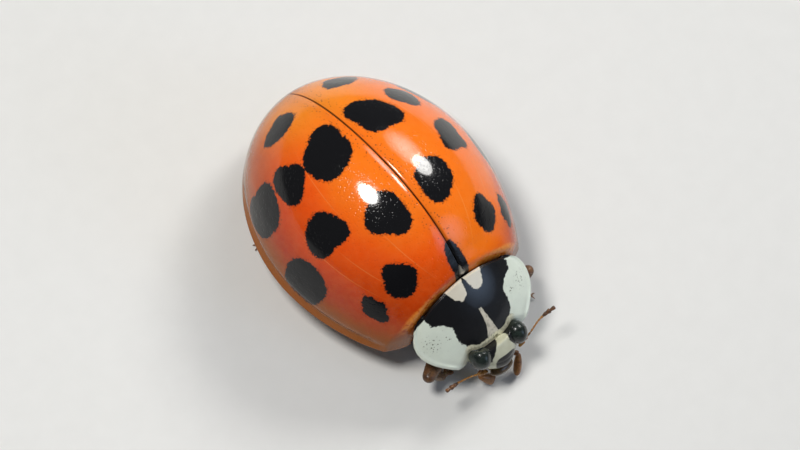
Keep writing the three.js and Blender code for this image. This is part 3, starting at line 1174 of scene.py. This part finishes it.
@dataclass(frozen=True)
class HornFinish(Finish):
    """Brown or black horn, cloudy and finely scaled."""

    name: str
    light: Colour
    dark: Colour
    cells_per_mm: float = 22.0
    cloud_per_mm: float = 3.0
    gloss: float = 0.3
    coat: float = 0.5
    relief: float = 0.004

    def paint(self) -> bpy.types.Material:
        """Builds the material."""
        gloss = {"Coat_Weight": self.coat, "Coat_Roughness": 0.12, "Coat_IOR": 1.35}
        board = Board(self.name, **gloss, Specular_IOR_Level=0.25)
        where = board.place()
        cloud = board.noise(where, self.cloud_per_mm, 3.0, 0.6)
        scales = board.cells(where, self.cells_per_mm)
        colour = board.mix(cloud.rise(0.3, 0.72), self.dark, self.light)
        colour = board.shade(colour, scales.rise(0.0, 0.6) * 0.45 + 0.6)
        relief = board.bump(scales, self.relief)
        relief = board.bump(cloud, self.relief * 2.0, relief)
        dull = board.noise(where, 12.0) * 0.2 + self.gloss
        return board.wear(Base_Color=colour, Roughness=dull, Normal=relief)


LEG_HORN = HornFinish("leg horn", (0.20, 0.095, 0.040), (0.055, 0.024, 0.011))
TARSUS_HORN = HornFinish("foot horn", (0.36, 0.19, 0.085), (0.16, 0.07, 0.028))
ANTENNA_HORN = HornFinish("antenna horn", (0.44, 0.22, 0.055), (0.26, 0.10, 0.022), cloud_per_mm=6.0)
CLUB_HORN = HornFinish("club horn", (0.20, 0.085, 0.03), (0.03, 0.015, 0.010), cloud_per_mm=8.0)
PALP_HORN = HornFinish("palp horn", (0.36, 0.16, 0.045), (0.14, 0.05, 0.015), cloud_per_mm=5.0)
LIP_HORN = HornFinish(
    "lip horn", (0.16, 0.085, 0.022), (0.05, 0.028, 0.009), cloud_per_mm=5.0, gloss=0.2, coat=0.8
)
THORAX_HORN = HornFinish(
    "thorax horn", (0.060, 0.036, 0.022), (0.014, 0.010, 0.008), cloud_per_mm=2.0, gloss=0.35
)
BELLY_HORN = HornFinish("belly horn", (0.50, 0.22, 0.07), (0.26, 0.095, 0.028), cloud_per_mm=2.0, gloss=0.35)
HAIR_HORN = HornFinish("hair", (0.55, 0.42, 0.20), (0.35, 0.24, 0.10), cells_per_mm=40.0, coat=0.0)


# ---------------------------------------------------------------- head


@dataclass(frozen=True)
class HeadForm:
    """The head's place, its lean and its half sizes."""

    centre: Triple = (0.0, -3.02, 1.0)
    radii: Triple = (0.64, 0.56, 0.58)
    lean: float = math.radians(8.0)
    lean_height: float = 1.1
    eye_centre: Triple = (0.51, -3.27, 1.24)
    eye_radii: Triple = (0.235, 0.265, 0.28)
    neck_y: float = -2.82  # the capsule is cut off here
    lip_centre: Triple = (0.0, -3.545, 0.645)
    lip_radii: Triple = (0.30, 0.145, 0.125)

    def leaning(self) -> Matrix:
        """Returns the placing that leans what is built upright, its left side lower."""
        lift = Matrix.Translation((0, 0, self.lean_height))
        return lift @ Matrix.Rotation(self.lean, 4, "Y") @ lift.inverted()


HEAD = HeadForm()


@dataclass(frozen=True)
class HeadFinish(Finish):
    """Cream between the eyes, black beside them, and a black bar above the lip."""

    cream: Colour = (0.56, 0.56, 0.42)
    dun: Colour = (0.34, 0.30, 0.15)
    black: Colour = (0.006, 0.006, 0.006)

    def paint(self) -> bpy.types.Material:
        """Builds the material."""
        board = Board("head", Coat_Weight=0.7, Coat_Roughness=0.08, Coat_IOR=1.35, Specular_IOR_Level=0.2)
        inputs = {
            "Vector": board.place(),
            "Location": HEAD.leaning().translation,
            "Rotation": (0.0, HEAD.lean, 0.0),
        }
        where = board.node("ShaderNodeMapping", {"vector_type": "TEXTURE"}, inputs)
        x, y, z = board.axes(where)
        wide = abs(x - y.rise(-3.38, -3.18) * 0.11 - 0.01)
        ragged = (board.noise(where, 9.0, 3.0, 0.6) - 0.5) * 0.10
        fine = (board.noise(where, 34.0, 2.0) - 0.5) * 0.03
        cream = (-y - 3.15).highest(0.0) * 0.45 + (-y - 3.40).highest(0.0) * 1.2 + 0.10
        beside = (wide - cream + ragged + fine).rise(*SOFT_EDGE)
        beside = beside * (z + ragged * 0.6).rise(1.13, 1.18)
        bar = abs((x - 0.015) / 0.275) ** 3.0 + abs((z - 1.04) / 0.185) ** 3.0
        bar = (1.0 - bar + ragged * 2.0).rise(-0.15, 0.2) * y.rise(-3.30, -3.34)
        dark = beside.highest(bar)
        cloud = board.noise(where, 4.0, 3.0)
        pale = board.mix(cloud.rise(0.35, 0.8) * 0.35, self.cream, self.dun)
        pale = board.mix(z.rise(0.92, 0.80) * 0.8, pale, self.dun)
        pits = board.cells(where, 18.0).rise(0.22, 0.08)
        pale = board.mix(pits * 0.35, pale, self.dun)
        colour = board.mix(dark, pale, self.black)
        relief = board.bump(1.0 - pits, 0.005)
        relief = board.bump(cloud, 0.010, relief)
        dull = board.noise(where, 14.0) * 0.15 + 0.28
        return board.wear(Base_Color=colour, Roughness=dull, Normal=relief)


@dataclass(frozen=True)
class EyeFinish(Finish):
    """A black compound eye with a fine net of facets and a green-grey sheen."""

    deep: Colour = (0.007, 0.010, 0.009)
    sheen: Colour = (0.030, 0.044, 0.036)

    def paint(self) -> bpy.types.Material:
        """Builds the material."""
        board = Board("eye", Coat_Weight=0.7, Coat_Roughness=0.12, Coat_IOR=1.33, Specular_IOR_Level=0.2)
        where = board.place()
        facets = board.cells(where, 34.0, 0.25)
        cloud = board.noise(where, 3.5, 2.0)
        colour = board.mix(cloud.rise(0.3, 0.75), self.deep, self.sheen)
        colour = board.shade(colour, 1.15 - facets.rise(0.25, 0.6) * 0.5)
        relief = board.bump(1.0 - facets, 0.0035)
        return board.wear(Base_Color=colour, Roughness=cloud * 0.1 + 0.22, Normal=relief)


@dataclass(frozen=True)
class PalpStance:
    """How a jaw palp is held: its joints' ends and the way its blade's thin side faces."""

    side: Side
    stops: tuple[Triple, ...]
    edge_on: Triple


PALPS = (
    PalpStance(
        Side.LEFT,
        ((0.24, -3.30, 0.46), (0.37, -3.40, 0.50), (0.475, -3.50, 0.47), (0.285, -3.71, 0.09)),
        (-0.64, 0.58, -0.04),
    ),
    PalpStance(
        Side.RIGHT,
        ((-0.22, -3.28, 0.46), (-0.38, -3.31, 0.50), (-0.50, -3.345, 0.42), (-0.265, -3.55, 0.14)),
        (-0.29, -0.25, 0.92),
    ),
)


@dataclass
class Head:
    """The capsule with its eyes, lip, jaws and palps."""

    finish: HeadFinish = field(default_factory=HeadFinish)
    eye_finish: EyeFinish = field(default_factory=EyeFinish)

    def capsule(self) -> Workpiece:
        """Returns the head capsule, with a flat brow, a lip plate and sockets for the antennae."""
        piece = Workpiece("head_capsule", Start.SPHERE, segments=160, ring_count=110, radius=1.0)
        centre = Vector(HEAD.centre)

        def press(unit: Vector) -> Vector:
            """Returns a point of the capsule."""
            p = stretched(unit, HEAD.radii)
            face = smooth(-unit.y, 0.2, 0.9)
            p.y += 0.05 * face * hump(p.x, 0.0, 0.45) * smooth(p.z, 0.1, 0.5)
            lip_plate = hump(p.x, 0.0, 0.30) * hump(p.z, -0.08, 0.20) * face
            p.y -= 0.075 * lip_plate
            step = smooth(p.z, -0.23, -0.30) * face * smooth(abs(p.x), 0.5, 0.3)
            p.y += 0.11 * step
            socket = hump(abs(p.x), 0.47, 0.09) * hump(p.z, -0.26, 0.09) * smooth(-unit.y, 0.3, 0.6)
            p.y += 0.07 * socket
            cheek = hump(p.z, -0.42, 0.25) * smooth(abs(p.x), 0.2, 0.5)
            p.x *= 1.0 - 0.12 * cheek
            groove = hump(p.z, 0.09, 0.022) * smooth(abs(p.x), 0.34, 0.28) * face
            p.y += 0.008 * groove
            return centre + p

        piece.mould(press)
        piece.bisected((0, HEAD.neck_y, 0), (0, -1, 0), fill=True)
        return piece.placed(HEAD.leaning()).mould(lambda p: SHIELD.tucked(p, 0.04, 1.1)).squared_up()

    def eye(self, side: Side) -> Workpiece:
        """Returns one eye: a rounded bean with a notch towards the feeler."""
        name = f"eye_{side.word}_lens"
        piece = Workpiece(name, Start.SPHERE, segments=64, ring_count=48, radius=1.0)

        def press(unit: Vector) -> Vector:
            """Returns a point of the eye."""
            notch = hump(unit.x, -0.55, 0.35) * hump(unit.y, -0.75, 0.35)
            return Vector(HEAD.eye_centre) + stretched(unit, HEAD.eye_radii) * (1.0 - 0.08 * notch)

        piece.mould(press).squared_up()
        if side is Side.RIGHT:
            piece.placed(MIRROR)
        return piece.placed(HEAD.leaning()).mould(lambda p: SHIELD.tucked(p, 0.03, 1.6))

    def lip(self) -> Workpiece:
        """Returns the labrum: a short rounded plate with a notch, over two jaw tips."""
        plate = Workpiece("labrum_plate", Start.SPHERE, segments=48, ring_count=32, radius=1.0)
        _, front, level = HEAD.lip_centre
        wide, deep, high = HEAD.lip_radii

        def press(unit: Vector) -> Vector:
            """Returns a point of the lip plate."""
            notch = 0.05 * hump(unit.x, 0.0, 0.28) * smooth(-unit.z, 0.3, 0.9)
            return Vector((unit.x * wide, front + unit.y * deep, level + unit.z * high + notch))

        plate.mould(press)
        jaw_sections = (
            Station(0.0, 0.10, 0.08), Station(0.10, 0.105, 0.085), Station(0.20, 0.08, 0.07, -0.02),
            Station(0.27, 0.045, 0.045, -0.05), Station(0.31, 0.015, 0.015, -0.085),
        )
        jaw = raised("jaw", jaw_sections, sides=12)
        placing = upright(Vector((0.17, -3.36, 0.66)), Vector((0.06, -3.49, 0.36)), Vector((0, -1, 0)))
        other = jaw.copied("jaw_right").placed(placing).placed(MIRROR)
        jaw.placed(placing)
        return plate.joined([jaw, other]).placed(HEAD.leaning())

    def palp(self, stance: PalpStance) -> Workpiece:
        """Returns one jaw palp: two short joints and a hatchet-shaped last one."""
        joint = raised(
            "palp_joint",
            (
                Station(0.0, 0.045, 0.040), Station(0.15, 0.056, 0.050), Station(0.6, 0.070, 0.060),
                Station(0.9, 0.064, 0.054), Station(1.0, 0.035, 0.03),
            ),
        )
        blade = raised(
            "palp_blade",
            (
                Station(0.0, 0.045, 0.04), Station(0.12, 0.070, 0.065), Station(0.38, 0.100, 0.090, 0.010),
                Station(0.68, 0.130, 0.098, 0.020), Station(0.88, 0.138, 0.084, 0.026),
                Station(0.97, 0.120, 0.060, 0.028), Station(1.0, 0.08, 0.03, 0.028),
            ),
            sides=14,
        )
        stops = [Vector(stop) for stop in stance.stops]
        parts = [joint.copied(f"palp_joint_{number}") for number in range(len(stops) - 2)]
        joint.thrown_away()
        for part, (start, end) in zip((*parts, blade), pairwise(stops)):
            size = Matrix.Diagonal((1.0, 1.0, (end - start).length * 1.05, 1.0))
            part.placed(upright(start, end, Vector(stance.edge_on)) @ size)
        blade.joined(parts)
        blade.obj.name = f"palp_{stance.side.word}_joints"
        return blade

    def build(self) -> None:
        """Builds the head's pieces and sets them down."""
        self.capsule().set_down(self.finish, "head", "head")
        for side in Side:
            self.eye(side).set_down(self.eye_finish, "eye", f"eye_{side.word}")
        for stance in PALPS:
            self.palp(stance).set_down(PALP_HORN, "mouthparts", f"palp_{stance.side.word}")
        self.lip().set_down(LIP_HORN, "mouthparts", "labrum")


ANTENNA_PATHS = {
    Side.LEFT: (
        (0.50, -3.45, 0.72), (0.83, -3.40, 0.88), (1.12, -3.325, 1.02),
        (1.285, -3.33, 1.12), (1.50, -3.365, 1.22),
    ),
    Side.RIGHT: (
        (-0.36, -3.44, 0.66), (-0.62, -3.40, 0.80), (-0.83, -3.35, 0.88),
        (-1.11, -3.32, 0.95), (-1.42, -3.315, 0.985),
    ),
}


@dataclass
class Antenna:
    """A feeler of eleven joints, the last three a loose club."""

    side: Side
    path: tuple[Triple, ...]
    lengths: tuple[float, ...] = (0.17, 0.11, 0.12, 0.10, 0.095, 0.09, 0.09, 0.085, 0.10, 0.10, 0.12)
    girths: tuple[float, ...] = (0.056, 0.042, 0.026, 0.024, 0.024, 0.025, 0.027, 0.031, 0.050, 0.062, 0.050)
    club_from: int = 8
    overlap: float = 1.04  # each joint's length over its share of the path
    club_overlap: float = 1.22

    def at(self, distance: float) -> Vector:
        """Returns the point so far along the feeler's curve."""
        points = [Vector(p) for p in self.path]
        for start, end in pairwise(points):
            span = (end - start).length
            if distance <= span:
                return start.lerp(end, distance / span)
            distance -= span
        return end + (end - start).normalized() * distance

    def build(self) -> None:
        """Builds the stem and the club and sets them down."""
        joint = raised(
            "feeler_joint",
            (
                Station(0.0, 0.45, 0.45), Station(0.10, 0.60, 0.60), Station(0.40, 0.78, 0.78),
                Station(0.75, 1.0, 1.0), Station(0.93, 0.92, 0.92), Station(1.0, 0.55, 0.55),
            ),
            sides=10,
        )
        total = sum((Vector(b) - Vector(a)).length for a, b in pairwise(self.path))
        scale = total / sum(self.lengths)
        walked, stem, club = 0.0, [], []
        for number, (length, girth) in enumerate(zip(self.lengths, self.girths)):
            start, end = self.at(walked), self.at(walked + length * scale)
            in_club = number >= self.club_from
            overlap = self.club_overlap if in_club else self.overlap
            size = Matrix.Diagonal((girth, girth * 0.9, (end - start).length * overlap, 1.0))
            part = joint.copied(f"feeler_{number}").placed(upright(start, end, UPWARDS) @ size)
            (club if in_club else stem).append(part)
            walked += length * scale
        joint.thrown_away()
        node = f"antenna_{self.side.word}"
        for parts, name, finish, nodes in (
            (stem, "stem", ANTENNA_HORN, (node,)),
            (club, "club", CLUB_HORN, ()),
        ):
            whole = parts[0].joined(parts[1:])
            whole.obj.name = f"{node}_{name}"
            whole.set_down(finish, "antenna", *nodes)


# ---------------------------------------------------------------- trunk


@dataclass
class Trunk:
    """The underside: prothorax, thorax with its hips, and a belly of six plates."""

    inset: float = 0.44  # of the trunk inside the vault
    belly_drop: float = 0.16
    belly_fullness: float = 2.1
    waist: float = -0.1
    waist_gap: float = 0.01
    plate_edges: tuple[float, ...] = (-0.1, 1.0, 1.55, 2.05, 2.5, 2.9, 3.4)
    plate_step: float = 0.06
    hip_height: float = 0.60
    collar_centre: Triple = (0.0, -2.42, 1.50)
    collar_radii: Triple = (1.24, 0.78, 0.74)
    collar_ends: tuple[float, float] = (-2.84, -1.88)

    def under(self, share: float, angle: float, relief: float) -> Vector:
        """Returns a point of the trunk, which fills the vault from inside and bulges below it."""
        plain = DOME.point(share, angle, -self.inset)
        if math.cos(angle) < 0:
            plan = DOME.plan.height(share)
            plain.z = DOME.rim + math.cos(angle) * (self.belly_drop * self.belly_fullness * plan + relief)
        return plain

    def block(self, name: str, relief: Callable[[float, float], float]) -> Workpiece:
        """Returns the whole trunk with a relief on its underside.

        Args:
            name: The piece's name.
            relief: Takes x and y and gives how far the surface stands out.

        Returns:
            The closed block.
        """
        piece = Workpiece(
            name, Start.SPHERE, segments=120, ring_count=150, radius=1.0, rotation=(math.radians(-90), 0, 0)
        )

        def press(unit: Vector) -> Vector:
            """Returns a point of the block."""
            share = (unit.y + 1.0) / 2.0
            angle = math.atan2(unit.x, unit.z)
            plain = self.under(share, angle, 0.0)
            return self.under(share, angle, relief(plain.x, plain.y))

        return piece.mould(press)

    def belly(self) -> Workpiece:
        """Returns the abdomen, its plates overlapping towards the tip."""

        def relief(x: float, y: float) -> float:
            """Returns the step of the plates."""
            bowed = y - 0.05 * x * x
            for low, high in pairwise(self.plate_edges):
                if low <= bowed < high:
                    share = (bowed - low) / (high - low)
                    step = self.plate_step * share * smooth(share, 1.0, 0.94)
                    return step - 0.03 * hump(abs(x), 1.75, 0.12)
            return 0.0

        piece = self.block("abdomen_plates", relief)
        start = self.waist + self.waist_gap
        return piece.bisected((0, start, 0), (0, 1, 0), fill=True).squared_up()

    def hips(self, front: bool) -> list[Workpiece]:
        """Returns the rounded hips of the legs on this part of the trunk."""
        hip = raised(
            "hip",
            (
                Station(-0.20, 0.14, 0.12), Station(-0.13, 0.21, 0.17), Station(0.0, 0.25, 0.20),
                Station(0.12, 0.22, 0.18), Station(0.19, 0.14, 0.12), Station(0.22, 0.07, 0.06),
            ),
            sides=16,
        )
        made = []
        for name, leg in LEGS.items():
            if name.startswith("front") == front:
                root, knee = Vector((*leg.hip, self.hip_height)), Vector(leg.knee)
                made.append(hip.copied(f"hip_{name}").placed(upright(root, knee, UPWARDS)))
        hip.thrown_away()
        return made

    def chest(self) -> Workpiece:
        """Returns the thorax, with a middle groove, side plates and hips."""

        def relief(x: float, y: float) -> float:
            """Returns the bulge of the breast plate."""
            plate = 0.06 * hump(x, 0.0, 0.9) * hump(y, -0.55, 0.45) + 0.04 * hump(y, -1.5, 0.25)
            groove = -0.035 * math.exp(-((x / 0.03) ** 2)) * smooth(y, -1.25, -1.0)
            seams = -0.03 * hump(y, -1.22, 0.02) - 0.03 * hump(abs(x) - 0.1 * y, 1.25, 0.03)
            return plate + groove + seams

        piece = self.block("thorax_plates", relief)
        piece.bisected((0, DOME.base + 0.03, 0), (0, 1, 0), fill=True)
        piece.bisected((0, self.waist - self.waist_gap, 0), (0, -1, 0), fill=True).squared_up()
        return piece.joined(self.hips(front=False))

    def collar(self) -> Workpiece:
        """Returns the prothorax under the shield, with the front hips."""
        piece = Workpiece("prothorax_plates", Start.SPHERE, segments=96, ring_count=64, radius=1.0)
        _, middle, level = self.collar_centre
        wide, deep, high = self.collar_radii
        front, back = self.collar_ends

        def press(unit: Vector) -> Vector:
            """Returns a point of the collar, which stays below the shield."""
            p = Vector((unit.x * wide, middle + unit.y * deep, level + unit.z * high))
            roof = SHIELD.height(p.x, min(p.y, -1.96)) - 0.10
            p.z = min(p.z, roof)
            keel = hump(p.x, 0.0, 0.10) * smooth(-unit.z, 0.3, 0.9)
            p.z -= 0.03 * keel
            p.z += 0.03 * hump(abs(p.x), 0.72, 0.03) * smooth(-unit.z, 0.1, 0.6)
            return p

        piece.mould(press)
        piece.bisected((0, front, 0), (0, 1, 0), fill=True)
        piece.bisected((0, back, 0), (0, -1, 0), fill=True).squared_up()
        return piece.joined(self.hips(front=True))

    def build(self) -> None:
        """Builds the three parts and sets them down."""
        self.collar().set_down(THORAX_HORN, "thorax", "prothorax")
        self.chest().set_down(THORAX_HORN, "thorax", "thorax")
        self.belly().set_down(BELLY_HORN, "abdomen", "abdomen")


# ---------------------------------------------------------------- legs


@dataclass(frozen=True)
class LegStance:
    """Where a leg bends: hip, ankle and toe on plan, and the knee in space."""

    hip: tuple[float, float]
    knee: Triple
    ankle: tuple[float, float]
    toe: tuple[float, float]


LEGS = {
    "front_left": LegStance((0.55, -2.33), (1.74, -2.28, 0.79), (1.32, -2.30), (1.73, -2.61)),
    "front_right": LegStance((-0.55, -2.33), (-1.45, -2.78, 0.73), (-1.0, -2.80), (-0.60, -2.74)),
    "middle_left": LegStance((0.75, -1.25), (1.85, -1.0, 0.58), (1.48, -0.45), (1.98, -0.2)),
    "middle_right": LegStance((-0.75, -1.25), (-1.8, -1.05, 0.58), (-1.4, -0.5), (-1.86, -0.28)),
    "hind_left": LegStance((0.6, -0.35), (1.75, 0.72, 0.58), (1.6, 1.62), (2.05, 1.92)),
    "hind_right": LegStance((-0.6, -0.35), (-1.8, 0.8, 0.58), (-1.68, 1.82), (-2.22, 1.99)),
}


@dataclass(frozen=True)
class Fringe:
    """The hairs of one limb joint: how many, where along it and how long."""

    count: int
    low: float
    high: float
    girth: float
    length: float
    lean: float = 0.8
    seed: int = SEED

    def grown(self, name: str) -> Workpiece:
        """Returns the hairs round a joint that is 1 long along +Z."""
        chance = random.Random(self.seed)
        hair = Workpiece(name, Start.CONE, vertices=3, radius1=0.0045, radius2=0.0, depth=1.0)
        hair.placed(Matrix.Translation((0, 0, 0.5)))
        hairs = []
        for number in range(self.count):
            around = chance.uniform(0.0, 2 * math.pi)
            out = Vector((math.cos(around), math.sin(around), 0.0))
            foot = out * self.girth + Vector((0, 0, chance.uniform(self.low, self.high)))
            tip = foot + (out + Vector((0, 0, self.lean * chance.uniform(0.7, 1.5)))).normalized()
            length = Matrix.Diagonal((1.0, 1.0, self.length * chance.uniform(0.6, 1.2), 1.0))
            placing = upright(foot, tip, Vector((0.1, 0.2, 1.0))) @ length
            hairs.append(hair.copied(f"{name}_{number}").placed(placing))
        first = Matrix.Translation((0, 0, self.low)) @ Matrix.Scale(self.length, 4)
        return hair.placed(first).joined(hairs)


@dataclass
class LegMaker:
    """Makes each joint of a leg once, and copies it to all six."""

    hip_height: float = 0.58
    ankle_height: float = 0.13
    toe_height: float = 0.055
    lobe_apart: float = 0.045
    thigh_hairs: Fringe = Fringe(50, 0.35, 1.0, 0.13, 0.085)
    shin_hairs: Fringe = Fringe(90, 0.15, 0.98, 0.075, 0.085)
    foot_hairs: Fringe = Fringe(70, 0.02, 0.85, 0.035, 0.070, 0.9)
    thigh: Workpiece | None = None
    shin: Workpiece | None = None
    foot: Workpiece | None = None

    def patterns(self) -> None:
        """Makes the thigh, shin and foot, each 1 long along +Z, its upper side towards +Y."""
        self.thigh = raised(
            "thigh",
            (
                Station(0.12, 0.08, 0.08), Station(0.16, 0.13, 0.12), Station(0.26, 0.16, 0.14),
                Station(0.5, 0.19, 0.165), Station(0.75, 0.19, 0.16), Station(0.92, 0.155, 0.135),
                Station(1.02, 0.145, 0.125), Station(1.09, 0.10, 0.09), Station(1.115, 0.03, 0.03),
            ),
            sides=14,
        )
        self.shin = raised(
            "shin",
            (
                Station(-0.03, 0.045, 0.045), Station(0.02, 0.075, 0.07),
                Station(0.15, 0.085, 0.075, 0.0, 0.015), Station(0.5, 0.10, 0.085, 0.0, 0.01),
                Station(0.85, 0.115, 0.09), Station(0.96, 0.10, 0.08), Station(1.02, 0.05, 0.04),
            ),
            sides=12,
        )
        first = raised(
            "foot_first",
            (
                Station(-0.04, 0.035, 0.03), Station(0.02, 0.05, 0.042), Station(0.20, 0.075, 0.05),
                Station(0.28, 0.065, 0.04), Station(0.30, 0.03, 0.02),
            ),
        )
        lobe = raised(
            "foot_lobe",
            (
                Station(0.24, 0.03, 0.025), Station(0.32, 0.055, 0.036), Station(0.46, 0.060, 0.038, 0.02),
                Station(0.55, 0.042, 0.028, 0.03), Station(0.575, 0.018, 0.012, 0.032),
            ),
        )
        twin = lobe.copied("foot_lobe_2").placed(Matrix.Translation((-self.lobe_apart, 0, 0)) @ MIRROR)
        lobe.placed(Matrix.Translation((self.lobe_apart, 0, 0)))
        last = raised(
            "foot_last",
            (
                Station(0.40, 0.022, 0.022, 0, 0.02), Station(0.60, 0.030, 0.028, 0, 0.015),
                Station(0.84, 0.044, 0.036, 0, 0.01), Station(0.89, 0.032, 0.028, 0, 0.008),
                Station(0.905, 0.012, 0.012, 0, 0.008),
            ),
        )
        claw = raised(
            "claw",
            (
                Station(0.84, 0.024, 0.022), Station(0.90, 0.022, 0.02, 0.025, 0.006),
                Station(0.96, 0.016, 0.015, 0.05, 0.0), Station(1.01, 0.010, 0.010, 0.062, -0.016),
                Station(1.035, 0.004, 0.004, 0.062, -0.032),
            ),
            sides=8,
        )
        other = claw.copied("claw_2").placed(MIRROR)
        self.foot = first.joined([lobe, twin, last, claw, other])

    def build(self) -> None:
        """Builds all six legs and sets them down."""
        self.patterns()
        fringes = [
            fringe.grown(f"hairs_{number}")
            for number, fringe in enumerate((self.thigh_hairs, self.shin_hairs, self.foot_hairs))
        ]
        for name, leg in LEGS.items():
            hip, knee = Vector((*leg.hip, self.hip_height)), Vector(leg.knee)
            ankle, toe = Vector((*leg.ankle, self.ankle_height)), Vector((*leg.toe, self.toe_height))
            hairs = []
            for pattern, fringe, start, end, node, finish in (
                (self.thigh, fringes[0], hip, knee, "femur", LEG_HORN),
                (self.shin, fringes[1], knee, ankle, "tibia", LEG_HORN),
                (self.foot, fringes[2], ankle, toe, "tarsus", TARSUS_HORN),
            ):
                size = Matrix.Diagonal((1.0, 1.0, (end - start).length, 1.0))
                placing = upright(start, end, UPWARDS) @ size
                part = pattern.copied(f"{node}_{name}_horn").placed(placing)
                part.set_down(finish, "leg", f"{node}_{name}")
                hairs.append(fringe.copied(f"{node}_{name}_hairs").placed(placing))
            hairs[0].joined(hairs[1:])
            hairs[0].obj.name = f"leg_{name}_hairs"
            hairs[0].mould(lambda p: (p.x, p.y, max(p.z, 0.0))).set_down(HAIR_HORN, "leg")
        for pattern in (self.thigh, self.shin, self.foot, *fringes):
            pattern.thrown_away()


# ---------------------------------------------------------------- studio


@dataclass(frozen=True)
class PlainFinish(Finish):
    """The floor's pale matt paper."""

    shade: Colour = (0.70, 0.70, 0.68)
    light: Colour = (0.74, 0.74, 0.72)

    def paint(self) -> bpy.types.Material:
        """Builds the material."""
        board = Board("paper")
        grain = board.noise(board.place(), 2.0, 3.0)
        colour = board.mix(grain, self.shade, self.light)
        return board.wear(Base_Color=colour, Roughness=grain * 0.1 + 0.6)


@dataclass(frozen=True)
class Lamp:
    """A soft round light: where it hangs, its width, power and colour, and the angle it fills."""

    name: str
    toward: Triple
    distance: float
    width: float
    watts: float
    colour: Colour
    spread: float = 180.0  # degrees


WARM = (1.0, 0.98, 0.95)
COOL = (0.97, 0.98, 1.0)
BLUE = (0.52, 0.70, 1.0)
LAMPS = (
    Lamp("key_light", (-0.29, 0.17, 0.94), 70.0, 19.0, 0.033, WARM),
    Lamp("side_light", (0.735, 0.085, 0.675), 70.0, 19.5, 0.018, WARM),
    Lamp("wide_light", (0.694, 0.318, 0.646), 90.0, 41.0, 0.00065, COOL, 28.0),
    Lamp("front_light", (0.48, -0.86, 0.44), 90.0, 58.0, 0.0013, BLUE, 40.0),
)


@dataclass
class Studio:
    """The floor, the soft lights and the camera that looks down on the beetle's right side."""

    right: Triple = (0.76067, -0.64574, 0.06630)
    up: Triple = (0.58031, 0.72223, 0.37632)
    toward: Triple = (-0.29089, -0.24778, 0.92411)
    target: Triple = (0.0, 0.992, 0.95)
    aim: tuple[float, float] = (0.715, -0.4296)  # how far right of and above the target it looks
    distance: float = 147.06
    lens: float = 311.0
    sensor: float = 36.0
    clips: tuple[float, float] = (0.01, 10.0)  # metres
    lit: Triple = (0.0, 0.5, 1.5)  # the point that every light looks at
    floor_size: float = 900.0
    sky: Colour = (0.92, 0.95, 1.0)
    sky_strength: float = 0.12

    def floor(self) -> None:
        """Lays the floor."""
        size = self.floor_size
        piece = Workpiece("floor", Start.GRID, x_subdivisions=4, y_subdivisions=4, size=size)
        piece.obj.data.transform(Matrix.Scale(MM, 4))
        piece.obj.data.materials.append(PlainFinish().material())

    def hang(self, lamp: Lamp) -> None:
        """Hangs a light that looks at the beetle."""
        light = bpy.data.lights.new(lamp.name, "AREA")
        light.spread = math.radians(lamp.spread)
        light.shape = "ELLIPSE"
        light.size = light.size_y = lamp.width * MM
        light.energy = lamp.watts
        light.color = lamp.colour
        holder = bpy.data.objects.new(lamp.name, light)
        out = Vector(lamp.toward).normalized()
        place = (Vector(self.lit) + out * lamp.distance) * MM
        holder.matrix_world = upright(place, place + out, Vector((0, 1, 0)))
        bpy.context.collection.objects.link(holder)

    def lights(self) -> None:
        """Hangs the lights and sets the pale surroundings."""
        for lamp in LAMPS:
            self.hang(lamp)
        world = bpy.data.worlds.new("surroundings")
        world.use_nodes = True
        background = world.node_tree.nodes["Background"]
        background.inputs["Color"].default_value = (*self.sky, 1.0)
        background.inputs["Strength"].default_value = self.sky_strength
        bpy.context.scene.world = world
        bpy.context.scene.view_settings.view_transform = "Standard"

    def camera(self) -> None:
        """Sets the camera up."""
        lens = bpy.data.cameras.new("camera")
        lens.lens, lens.sensor_width = self.lens, self.sensor
        lens.clip_start, lens.clip_end = self.clips
        holder = bpy.data.objects.new("camera", lens)
        right, up, back = Vector(self.right), Vector(self.up), Vector(self.toward)
        middle = Vector(self.target) + right * self.aim[0] + up * self.aim[1]
        turn = Matrix((right, up, back)).transposed().to_4x4()
        holder.matrix_world = Matrix.Translation((middle + back * self.distance) * MM) @ turn
        bpy.context.collection.objects.link(holder)
        bpy.context.scene.camera = holder

    def build(self) -> None:
        """Sets the studio up."""
        self.floor()
        self.lights()
        self.camera()


def main() -> None:
    """Builds the beetle part by part, then the studio round it."""
    logging.basicConfig(level=logging.INFO, format="%(message)s")
    # the flank's painted shade reaches higher on the right wing than on the left
    for side, seam_dip, spots, clears in (
        (Side.LEFT, (0.020, 0.035), LEFT_SPOTS, (0.9, 1.9)),
        (Side.RIGHT, (0.036, 0.10), RIGHT_SPOTS, (2.2, 2.85)),
    ):
        finish = WingCaseFinish(side, spots, STREAKS, clears)
        WingCase(side, seam_dip).build().set_down(finish, "wing_case", f"wing_case_{side.word}")
    Scutellum().build().set_down(ScutellumFinish(), "scutellum", "scutellum")
    Shield().build().set_down(ShieldFinish(), "pronotum", "pronotum")
    Head().build()
    for side, path in ANTENNA_PATHS.items():
        Antenna(side, path).build()
    Trunk().build()
    LegMaker().build()
    Studio().build()


if __name__ == "__main__":
    main()
